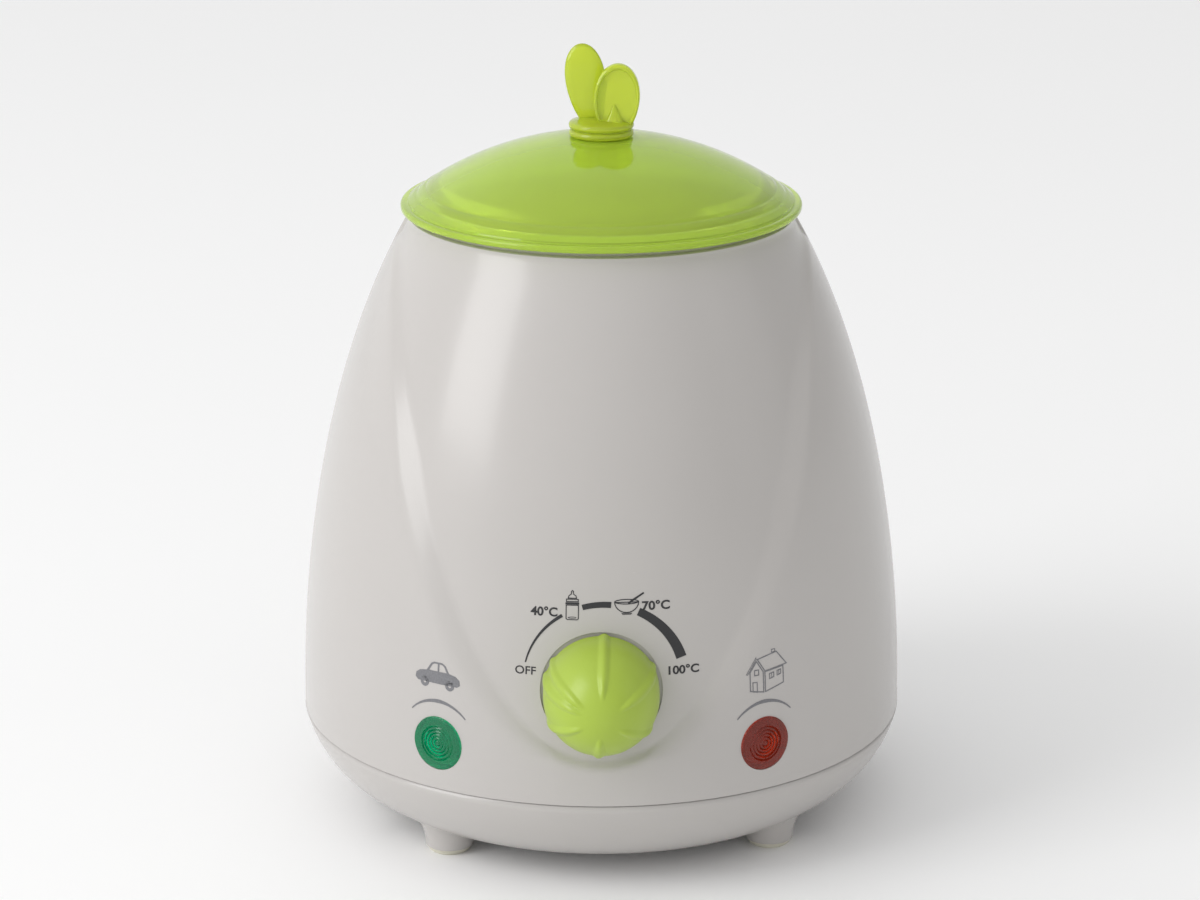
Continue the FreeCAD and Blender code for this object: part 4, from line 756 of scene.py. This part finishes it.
class WARMER_OT_lenses(bpy.types.Operator):
    """Green and red indicator lenses with moulded rings, and the clips behind them"""

    bl_idname = "warmer.lenses"
    bl_label = "Indicator lenses"

    def execute(self, context):
        sizes = context.scene.warmer.lens
        face = shell_radius(context.scene.warmer.shell, sizes.height)
        back = face - 5.5 * MM
        rings_out = 4.0 * MM
        profile = [(0.0, 3.9 * MM), (5.1 * MM, 3.9 * MM), (5.1 * MM, 0.0)]
        profile += [(7.6 * MM, 0.0), (7.6 * MM, 1.2 * MM)]
        profile += [(sizes.radius, 1.2 * MM), (sizes.radius, 5.25 * MM)]
        profile += arc((sizes.radius - 0.25 * MM, 5.25 * MM), 0.25 * MM, 15.0, 80.0, 4)
        profile += [(sizes.radius - 1.2 * MM, 5.6 * MM), (rings_out + 0.2 * MM, 5.68 * MM)]
        count = int(rings_out / sizes.ring_pitch)
        for k in range(count):
            outer = rings_out - k * sizes.ring_pitch
            profile += [(outer, (5.68 * MM) - sizes.ring_depth), (outer - sizes.ring_pitch * 0.5, 5.70 * MM)]
            profile += [(outer - sizes.ring_pitch * 0.8, 5.70 * MM)]
        profile += [(0.0, 5.66 * MM)]
        for name, side, slot in (("lens_left", -1, "lens_green"), ("lens_right", 1, "lens_red")):
            where = outward(side * math.degrees(sizes.turn), back, sizes.height)
            lens = turned(name, profile, ((360.0, 96),))
            settle(lens, where)
            smooth(lens, 30.0)
            put(lens, "housing", slot, FINISHES[slot], slot)
            clip = self.clip(name + "_clip")
            settle(clip, where)
            put(clip, "housing", "black_plastic", FINISHES["black_plastic"])
        return {"FINISHED"}

    def clip(self, name):
        """Two upright spring bars behind a lens."""
        bars = []
        for side in (-1, 1):
            bar = block(name, (side * 4.0 * MM - 0.7 * MM, -2.7 * MM, 0.4 * MM),
                        (side * 4.0 * MM + 0.7 * MM, 2.7 * MM, 3.7 * MM))
            modify(bar, "BEVEL", width=0.2 * MM, segments=2, limit_method="NONE")
            bars.append(smooth(bar))
        return join(*bars)


def lid_profile(sizes):
    """Outline of the domed lid with its stepped rim and its spigot."""
    hole = 3.85 * MM
    foot = sizes.seat + 2.1 * MM
    rise = sizes.top - foot
    ball = (sizes.step ** 2 + rise ** 2) / (2.0 * rise)
    centre = sizes.top - ball
    lean = math.degrees(math.asin(sizes.step / ball))
    start = math.degrees(math.asin(hole / ball))
    outside = arc((0.0, centre), ball, 90.0 - start, 90.0 - lean, 130)
    made = []
    for r, z in outside:
        near = min(abs(sizes.step - inward * MM - r) for inward in (1.9, 4.0)) / (0.6 * MM)
        made.append((r, z - 0.2 * MM * ease(1.0 - near)))
    shelf = sizes.seat + 1.6 * MM
    made += [(sizes.step + 0.1 * MM, shelf + 0.15 * MM), (sizes.step + 0.25 * MM, shelf)]
    made += arc((sizes.rim - 0.7 * MM, shelf - 0.7 * MM), 0.7 * MM, 90.0, 0.0, 5)
    made += arc((sizes.rim - 0.5 * MM, sizes.seat + 0.5 * MM), 0.5 * MM, 0.0, -90.0, 4)
    made += [(sizes.spigot + 0.3 * MM, sizes.seat), (sizes.spigot, sizes.seat - 0.3 * MM)]
    low = sizes.seat - 4.0 * MM
    made += arc((sizes.spigot - 0.5 * MM, low + 0.5 * MM), 0.5 * MM, 0.0, -90.0, 3)
    root = sizes.spigot - 1.6 * MM
    made += [(root, low), (root, sizes.seat + 1.0 * MM)]
    inner = ball - sizes.wall
    lean = math.degrees(math.asin(root / inner))
    start = math.degrees(math.asin(hole / inner))
    made += arc((0.0, centre), inner, 90.0 - lean, 90.0 - start, 40)
    return made


class WARMER_OT_lining(bpy.types.Operator):
    """Smooth lining on the wall of the bottle chamber"""

    bl_idname = "warmer.lining"
    bl_label = "Chamber lining"

    def execute(self, context):
        sizes = context.scene.warmer.chamber
        wide, narrow, film = sizes.mouth - sizes.gap, sizes.foot - sizes.gap, sizes.film
        wall = [(wide, sizes.top), (narrow, sizes.floor)]
        wall += [(narrow - film, sizes.floor), (wide - film, sizes.top)]
        lining = turned("chamber_lining", wall, ((360.0, 256),), closed=True)
        smooth(lining)
        put(lining, "housing", "white_inner", FINISHES["white_inner"])
        return {"FINISHED"}


class WARMER_OT_lid(bpy.types.Operator):
    """Clear domed lid with a stepped rim"""

    bl_idname = "warmer.lid"
    bl_label = "Lid"

    def execute(self, context):
        lid = turned("lid_cover", lid_profile(context.scene.warmer.lid), ((360.0, 256),), closed=True)
        smooth(lid, 28.0)
        put(lid, "lid", "lid_tint", FINISHES["lid_tint"], "lid_dome")
        return {"FINISHED"}


def leaf(name, section, half_width, half_height, taper):
    """One flat leaf: a section spun about its middle, stretched and narrowed to its foot."""
    points = [(r, t) for r, t in section] + [(r, -t) for r, t in reversed(section[:-1])]
    made = turned(name, points, ((360.0, 72),), axis=(0, 1, 0))
    settle(made, Matrix.Diagonal((half_width / (10.0 * MM), 1.0, half_height / (10.0 * MM), 1.0)))
    modify(made, "SIMPLE_DEFORM", deform_method="TAPER", deform_axis="Z", factor=taper)
    return made


class WARMER_OT_grip(bpy.types.Operator):
    """Two-leaf grip on a ringed collar, with its stem below the dome"""

    bl_idname = "warmer.grip"
    bl_label = "Grip"

    def execute(self, context):
        sizes = context.scene.warmer.lid
        top, collar = sizes.top, sizes.collar
        stem = turned("grip_leaves", [
            (0.0, top - 10.0 * MM), (3.3 * MM, top - 10.0 * MM), (3.75 * MM, top - 9.5 * MM),
            (3.75 * MM, top - 3.1 * MM), (3.2 * MM, top - 3.0 * MM), (3.2 * MM, top - 2.35 * MM),
            (3.75 * MM, top - 2.25 * MM), (3.75 * MM, top + 0.4 * MM), (0.0, top + 0.4 * MM),
        ], ((360.0, 64),))
        low = top - 0.35 * MM
        edge = collar - 0.85 * MM
        rings = [(0.0, low), (edge, low)]
        rings += arc((edge, low + 0.95 * MM), 0.85 * MM, -80.0, 80.0, 8)
        rings += arc((edge, low + 2.75 * MM), 0.85 * MM, -80.0, 60.0, 8)
        rings += [(edge - 0.6 * MM, low + 3.75 * MM), (edge - 2.2 * MM, low + 4.1 * MM)]
        rings.append((0.0, low + 4.15 * MM))
        ringed = turned("collar", rings, ((360.0, 96),))
        flat = [(0.0, 1.0), (4.0, 0.98), (7.0, 0.85), (8.8, 0.62), (9.7, 0.35), (10.0, 0.0)]
        rimmed = [(0.0, 0.72), (5.0, 0.7), (8.0, 0.66), (8.35, 0.72)]
        rimmed += [(8.6, 1.12), (9.2, 1.2), (9.8, 0.95), (10.0, 0.0)]
        left = leaf("left_leaf", [(r * MM, t * MM) for r, t in flat], 4.55 * MM, 9.8 * MM, 0.34)
        right = leaf("right_leaf", [(r * MM, t * MM) for r, t in rimmed], 5.25 * MM, 8.6 * MM, 0.16)
        left_turn = Matrix.Rotation(math.radians(-8.0), 4, "Y")
        right_turn = Matrix.Rotation(math.radians(4.0), 4, "Y")
        settle(left, Matrix.Translation((-3.4 * MM, 1.7 * MM, top + 11.0 * MM)) @ left_turn)
        settle(right, Matrix.Translation((3.5 * MM, -2.0 * MM, top + 8.3 * MM)) @ right_turn)
        point = [(0.0, 0.0), (2.0 * MM, 0.0), (0.25 * MM, 3.9 * MM), (0.0, 4.0 * MM)]
        web = turned("leaf_web", point, ((360.0, 24),))
        squash = Matrix.Diagonal((1.0, 0.45, 1.0, 1.0))
        settle(web, Matrix.Translation((3.0 * MM, -3.0 * MM, low + 3.8 * MM)) @ squash)
        for tool in (ringed, left, right, web):
            carve(stem, tool, "UNION")
        smooth(stem, 38.0)
        put(stem, "lid", "grip_tint", FINISHES["grip_tint"], "lid_grip")
        return {"FINISHED"}


# ---------------------------------------------------------------- printed marks


def flat_curve(name, loops):
    """A filled flat mesh from closed loops of (x, y) points in millimetres."""
    curve = bpy.data.curves.new(name, "CURVE")
    curve.dimensions = "2D"
    curve.fill_mode = "BOTH"
    for loop in loops:
        spline = curve.splines.new("POLY")
        spline.points.add(len(loop) - 1)
        for point, (x, y) in zip(spline.points, loop):
            point.co = (x * MM, y * MM, 0.0, 1.0)
        spline.use_cyclic_u = True
    fresh()
    obj = bpy.data.objects.new(name, curve)
    bpy.context.scene.collection.objects.link(obj)
    only(obj)
    bpy.ops.object.convert(target="MESH")
    return bpy.context.object


def lettering(name, words, width, height, weight):
    """Plain lettering as a flat mesh of a stated width and height, in millimetres."""
    fresh()
    bpy.ops.object.text_add()
    obj = bpy.context.object
    obj.name = name
    obj.data.body = words
    obj.data.align_x = "CENTER"
    obj.data.align_y = "CENTER"
    obj.data.size = 3.0 * MM
    obj.data.offset = weight * MM
    obj.data.resolution_u = 6
    bpy.ops.object.convert(target="MESH")
    obj = bpy.context.object
    xs = [v.co.x for v in obj.data.vertices]
    ys = [v.co.y for v in obj.data.vertices]
    middle = Vector(((max(xs) + min(xs)) / 2, (max(ys) + min(ys)) / 2, 0.0))
    stretch = (width * MM / (max(xs) - min(xs)), height * MM / (max(ys) - min(ys)), 1.0, 1.0)
    return settle(obj, Matrix.Diagonal(stretch) @ Matrix.Translation(-middle))


def print_on(obj, shell, degrees, height):
    """Lays a flat mesh on the shell's outside as a thin film of ink."""
    only(obj)
    bpy.ops.object.mode_set(mode="EDIT")
    bpy.ops.mesh.select_all(action="SELECT")
    bpy.ops.mesh.remove_doubles(threshold=0.002 * MM)
    bpy.ops.mesh.quads_convert_to_tris()
    bpy.ops.object.mode_set(mode="OBJECT")
    mesh = obj.data
    longest = 0.0
    for edge in mesh.edges:
        first, second = (mesh.vertices[end].co for end in edge.vertices)
        longest = max(longest, (first - second).length)
    cuts = min(12, math.ceil(longest / (0.9 * MM)))
    bpy.ops.object.mode_set(mode="EDIT")
    bpy.ops.mesh.subdivide(number_cuts=cuts)
    bpy.ops.mesh.quads_convert_to_tris()
    bpy.ops.mesh.select_all(action="SELECT")
    bpy.ops.mesh.normals_make_consistent(inside=False)
    bpy.ops.object.mode_set(mode="OBJECT")
    if sum(face.normal.z * face.area for face in obj.data.polygons) < 0.0:
        bpy.ops.object.mode_set(mode="EDIT")
        bpy.ops.mesh.select_all(action="SELECT")
        bpy.ops.mesh.flip_normals()
        bpy.ops.object.mode_set(mode="OBJECT")
    obj.matrix_world = outward(degrees, 80.0 * MM, height * MM)
    modify(obj, "SHRINKWRAP", target=shell, wrap_method="PROJECT", use_project_z=True,
           use_negative_direction=True, use_positive_direction=False, offset=0.02 * MM)
    settle(obj)
    modify(obj, "SOLIDIFY", thickness=0.04 * MM, offset=1.0)
    return obj


def band(start, end, radius, thin, thick, steps=40):
    """A band round the knob that grows from thin to thick."""
    outer, inner = [], []
    for k in range(steps + 1):
        share = k / steps
        a = math.radians(start + (end - start) * share)
        half = (thin + (thick - thin) * share) / 2
        outer.append(((radius + half) * math.cos(a), (radius + half) * math.sin(a)))
        inner.append(((radius - half) * math.cos(a), (radius - half) * math.sin(a)))
    return [outer + inner[::-1]]


def inset(loop, width):
    """A loop moved inwards by a width."""
    area = sum(a[0] * b[1] - b[0] * a[1] for a, b in zip(loop, loop[1:] + loop[:1]))
    side = 1.0 if area > 0.0 else -1.0
    made = []
    for k, point in enumerate(loop):
        before, after = Vector(loop[k - 1]), Vector(loop[(k + 1) % len(loop)])
        here = Vector(point)
        first, second = (here - before).normalized(), (after - here).normalized()
        push = Vector((-first.y - second.y, first.x + second.x)) * side
        scale = width / max(0.3, (1.0 + first.dot(second)))
        made.append(tuple(here + push * scale))
    return made


def ring(loop, width):
    """An outline drawn with a stated width."""
    return [loop, inset(loop, width)]


def oval(x, y, wide, tall, count=28):
    """Points round an oval."""
    made = []
    for k in range(count):
        a = 2.0 * math.pi * k / count
        made.append((x + wide * math.cos(a), y + tall * math.sin(a)))
    return made


def oblong(low_x, low_y, high_x, high_y):
    """Corners of an upright oblong."""
    return [(low_x, low_y), (high_x, low_y), (high_x, high_y), (low_x, high_y)]


def car_symbol():
    """A small car seen from the side."""
    body = [(-5.9, -1.3), (-5.7, -0.2), (-4.7, 0.5), (-2.9, 0.8), (-1.7, 2.6), (-0.9, 3.0), (1.2, 3.0),
            (2.1, 2.5), (3.0, 0.9), (4.7, 0.5), (5.7, -0.3), (5.9, -1.4), (5.2, -1.9), (-5.2, -1.9)]
    rear = [(-2.2, 0.9), (-1.35, 2.35), (-0.8, 2.6), (0.05, 2.6), (0.05, 0.9)]
    front = [(0.45, 0.9), (0.45, 2.6), (1.1, 2.6), (1.75, 2.25), (2.45, 0.9)]
    shapes = [[body, rear, front]]
    for x in (-3.3, 3.3):
        shapes.append([oval(x, -1.9, 1.15, 1.15), oval(x, -1.9, 0.4, 0.4)])
    return shapes


def house_symbol():
    """A small house in line drawing."""
    return [
        ring([(-4.6, -3.9), (-0.9, -4.7), (-0.9, 0.2), (-2.7, 3.0), (-4.6, 0.5)], 0.26),
        ring([(-0.7, -4.7), (4.5, -3.4), (4.5, 0.7), (-0.7, 0.2)], 0.26),
        ring([(-2.7, 3.3), (2.7, 4.3), (5.6, 0.8), (-0.6, 0.1)], 0.26),
        ring([(-5.5, 0.1), (-2.7, 3.9), (-2.7, 3.2), (-5.0, 0.0)], 0.16),
        ring(oblong(1.3, 4.1, 2.4, 4.9), 0.2),
        ring([(-3.9, -4.1), (-2.6, -4.4), (-2.6, -1.9), (-3.9, -1.8)], 0.22),
        ring(oblong(-3.4, -0.5, -2.1, 0.9), 0.22),
        ring([(0.5, -1.9), (1.9, -1.6), (1.9, -0.3), (0.5, -0.5)], 0.22),
        ring([(2.6, -1.5), (3.8, -1.2), (3.8, 0.0), (2.6, -0.2)], 0.22),
        [oblong(1.12, -1.8, 1.28, -0.4)],
        [oblong(3.12, -1.4, 3.28, -0.1)],
    ]


def bottle_symbol():
    """A feeding bottle in line drawing."""
    stroke = 0.2
    teat = [(-1.05, 1.45), (-0.85, 2.15), (-0.35, 2.5), (-0.3, 3.1), (0.0, 3.35), (0.3, 3.1), (0.35, 2.5),
            (0.85, 2.15), (1.05, 1.45)]
    return [
        ring([(-1.45, -3.0), (-1.1, -3.3), (1.1, -3.3), (1.45, -3.0), (1.45, 0.1), (-1.45, 0.1)], stroke),
        [oblong(-1.5, 0.15, 1.5, 0.62)],
        ring(oblong(-1.4, 0.7, 1.4, 1.4), stroke),
        ring(teat, stroke),
        ring(oval(0.0, -2.75, 0.95, 0.22), 0.12),
    ]


def bowl_symbol():
    """A bowl with a spoon in line drawing."""
    stroke = 0.22
    cup = [(2.75, 0.6)]
    for k in range(1, 12):
        a = -math.pi * k / 12
        cup.append((2.75 * math.cos(a), 0.6 + 2.5 * math.sin(a)))
    cup.append((-2.75, 0.6))
    spoon = [(0.2, 0.35), (0.55, 0.1), (1.5, 0.75), (3.9, 2.3), (3.7, 2.6), (1.2, 1.1)]
    return [
        ring(cup, stroke),
        ring(oval(0.0, 0.6, 2.75, 0.62), stroke),
        ring([(-1.2, -1.9), (1.2, -1.9), (0.9, -2.25), (-0.9, -2.25)], 0.14),
        [spoon],
    ]


class WARMER_OT_marks(bpy.types.Operator):
    """Printed dial scale, its figures and the supply symbols"""

    bl_idname = "warmer.marks"
    bl_label = "Printed marks"

    def execute(self, context):
        lens = context.scene.warmer.lens
        shell = bpy.data.objects["warmer_shell"]
        dial = (0.6, 51.8)
        scale = 17.8
        parts = [
            band(166.0, 121.0, scale, 0.3, 0.75),
            band(105.5, 85.0, scale, 1.2, 1.35),
            band(65.0, 17.5, scale, 1.75, 2.3),
        ]
        pieces = []
        for loops in parts:
            flat = flat_curve("scale", [[(x + dial[0], y) for x, y in loop] for loop in loops])
            pieces.append(print_on(flat, shell, 0.0, dial[1]))
        for words, wide, tall, weight, degrees, height in (
            ("OFF", 4.7, 1.85, 0.03, -14.2, 54.3),
            ("40°C", 6.0, 2.15, 0.08, -10.9, 67.8),
            ("70°C", 6.2, 2.15, 0.08, 10.4, 69.2),
            ("100°C", 7.0, 2.05, 0.08, 15.5, 54.4),
        ):
            pieces.append(print_on(lettering("figure", words, wide, tall, weight), shell, degrees, height))
        for shapes, degrees, height in ((bottle_symbol(), -5.5, 69.4), (bowl_symbol(), 4.8, 69.6)):
            for loops in shapes:
                pieces.append(print_on(flat_curve("symbol", loops), shell, degrees, height))
        marks = join(*pieces)
        marks.name = marks.data.name = "dial_print"
        put(marks, "housing", "black_plastic", FINISHES["dial_ink"])

        turn_degrees = math.degrees(lens.turn)
        pieces = []
        for shapes, degrees, height in ((car_symbol(), -31.4, 50.6), (house_symbol(), 31.8, 51.4)):
            for loops in shapes:
                pieces.append(print_on(flat_curve("symbol", loops), shell, degrees, height))
        for side in (-1, 1):
            left = band(137.0, 90.0, 9.7, 0.25, 0.85, 20)
            right = band(90.0, 43.0, 9.7, 0.85, 0.25, 20)
            for loops in (left, right):
                bow = flat_curve("bow", loops)
                pieces.append(print_on(bow, shell, side * turn_degrees, 35.0))
        marks = join(*pieces)
        marks.name = marks.data.name = "supply_print"
        put(marks, "housing", "grey_plastic", FINISHES["symbol_ink"])
        return {"FINISHED"}


# ---------------------------------------------------------------- stage


class WARMER_OT_stage(bpy.types.Operator):
    """Pale floor, soft studio light and the camera"""

    bl_idname = "warmer.stage"
    bl_label = "Stage"

    def execute(self, context):
        scene = context.scene
        fresh()
        bpy.ops.mesh.primitive_circle_add(vertices=96, radius=6.0, fill_type="NGON")
        floor = context.object
        floor.name = floor.data.name = "studio_floor"
        finish = Finish("Studio floor")
        cloud = finish.noise(2.5, 2.0)
        shade = scene.warmer.colours.floor
        finish.set("Base Color", finish.blend(cloud, darker(shade, 0.985), shade))
        finish.set("Roughness", 0.62 + (cloud - 0.5) * 0.1)
        floor.data.materials.append(finish.material)

        world = bpy.data.worlds.new("Studio")
        world.use_nodes = True
        sky = world.node_tree
        background = sky.nodes["Background"]
        background.inputs[0].default_value = (1.0, 1.0, 1.0, 1.0)
        way = sky.nodes.new("ShaderNodeTexCoord")
        parts = sky.nodes.new("ShaderNodeSeparateXYZ")
        level = sky.nodes.new("ShaderNodeMath")
        level.operation = "MULTIPLY_ADD"
        level.inputs[1].default_value, level.inputs[2].default_value = -0.32, 0.8
        sky.links.new(way.outputs["Generated"], parts.inputs[0])
        sky.links.new(parts.outputs[0], level.inputs[0])
        sky.links.new(level.outputs[0], background.inputs[1])
        scene.world = world
        scene.view_settings.view_transform = "Standard"

        for name, place, size, power in (
            ("Key softbox", (-1.5, -0.8, 1.05), (0.95, 1.5), 16.0),
            ("Fill softbox", (1.4, -0.4, 0.7), (0.9, 1.2), 1.0),
        ):
            lamp = bpy.data.lights.new(name, "AREA")
            lamp.shape = "RECTANGLE"
            lamp.size, lamp.size_y = size
            lamp.energy = power
            holder = bpy.data.objects.new(name, lamp)
            scene.collection.objects.link(holder)
            holder.location = place
            aim = Vector((0.0, 0.0, 0.09)) - holder.location
            holder.rotation_euler = aim.to_track_quat("-Z", "Y").to_euler()

        camera = bpy.data.cameras.new("Camera")
        camera.sensor_width = 36.0
        camera.lens = 101.9
        camera.shift_x = -0.0011
        camera.clip_start, camera.clip_end = 0.05, 20.0
        holder = bpy.data.objects.new("Camera", camera)
        scene.collection.objects.link(holder)
        lift = math.radians(17.4)
        away = Vector((0.0, -math.cos(lift), math.sin(lift))) * 0.8
        holder.location = Vector((0.0, 0.0, 0.0843)) + away
        holder.rotation_euler = (-away).to_track_quat("-Z", "Y").to_euler()
        scene.camera = holder
        return {"FINISHED"}


class WARMER_PT_panel(bpy.types.Panel):
    """Sizes, colours and building steps of the warmer"""

    bl_idname = "WARMER_PT_panel"
    bl_label = "Bottle Warmer"
    bl_space_type = "VIEW_3D"
    bl_region_type = "UI"
    bl_category = "Warmer"

    def draw(self, context):
        for step in STEPS:
            self.layout.operator(step.bl_idname)
        for name in ("shell", "base", "knob", "lens", "chamber", "lid", "colours"):
            group = getattr(context.scene.warmer, name)
            box = self.layout.box()
            box.label(text=name.title())
            for key in group.bl_rna.properties.keys():
                if key not in ("rna_type", "name"):
                    box.prop(group, key)


GROUPS = (
    WarmerShellSizes, WarmerBaseSizes, WarmerKnobSizes, WarmerLensSizes, WarmerChamberSizes,
    WarmerLidSizes, WarmerColours, WarmerSettings,
)
STEPS = (
    WARMER_OT_stage, WARMER_OT_finishes, WARMER_OT_shell, WARMER_OT_base, WARMER_OT_knob, WARMER_OT_lenses,
    WARMER_OT_lining, WARMER_OT_lid, WARMER_OT_grip, WARMER_OT_marks,
)


def register():
    for made in (*GROUPS, *STEPS, WARMER_PT_panel):
        bpy.utils.register_class(made)
    bpy.types.Scene.warmer = bpy.props.PointerProperty(type=WarmerSettings)


def unregister():
    del bpy.types.Scene.warmer
    for made in reversed((*GROUPS, *STEPS, WARMER_PT_panel)):
        bpy.utils.unregister_class(made)


def main():
    """Builds the stage and every piece."""
    register()
    for step in STEPS:
        group, name = step.bl_idname.split(".")
        getattr(getattr(bpy.ops, group), name)()
    fresh()


if __name__ == "__main__":
    main()
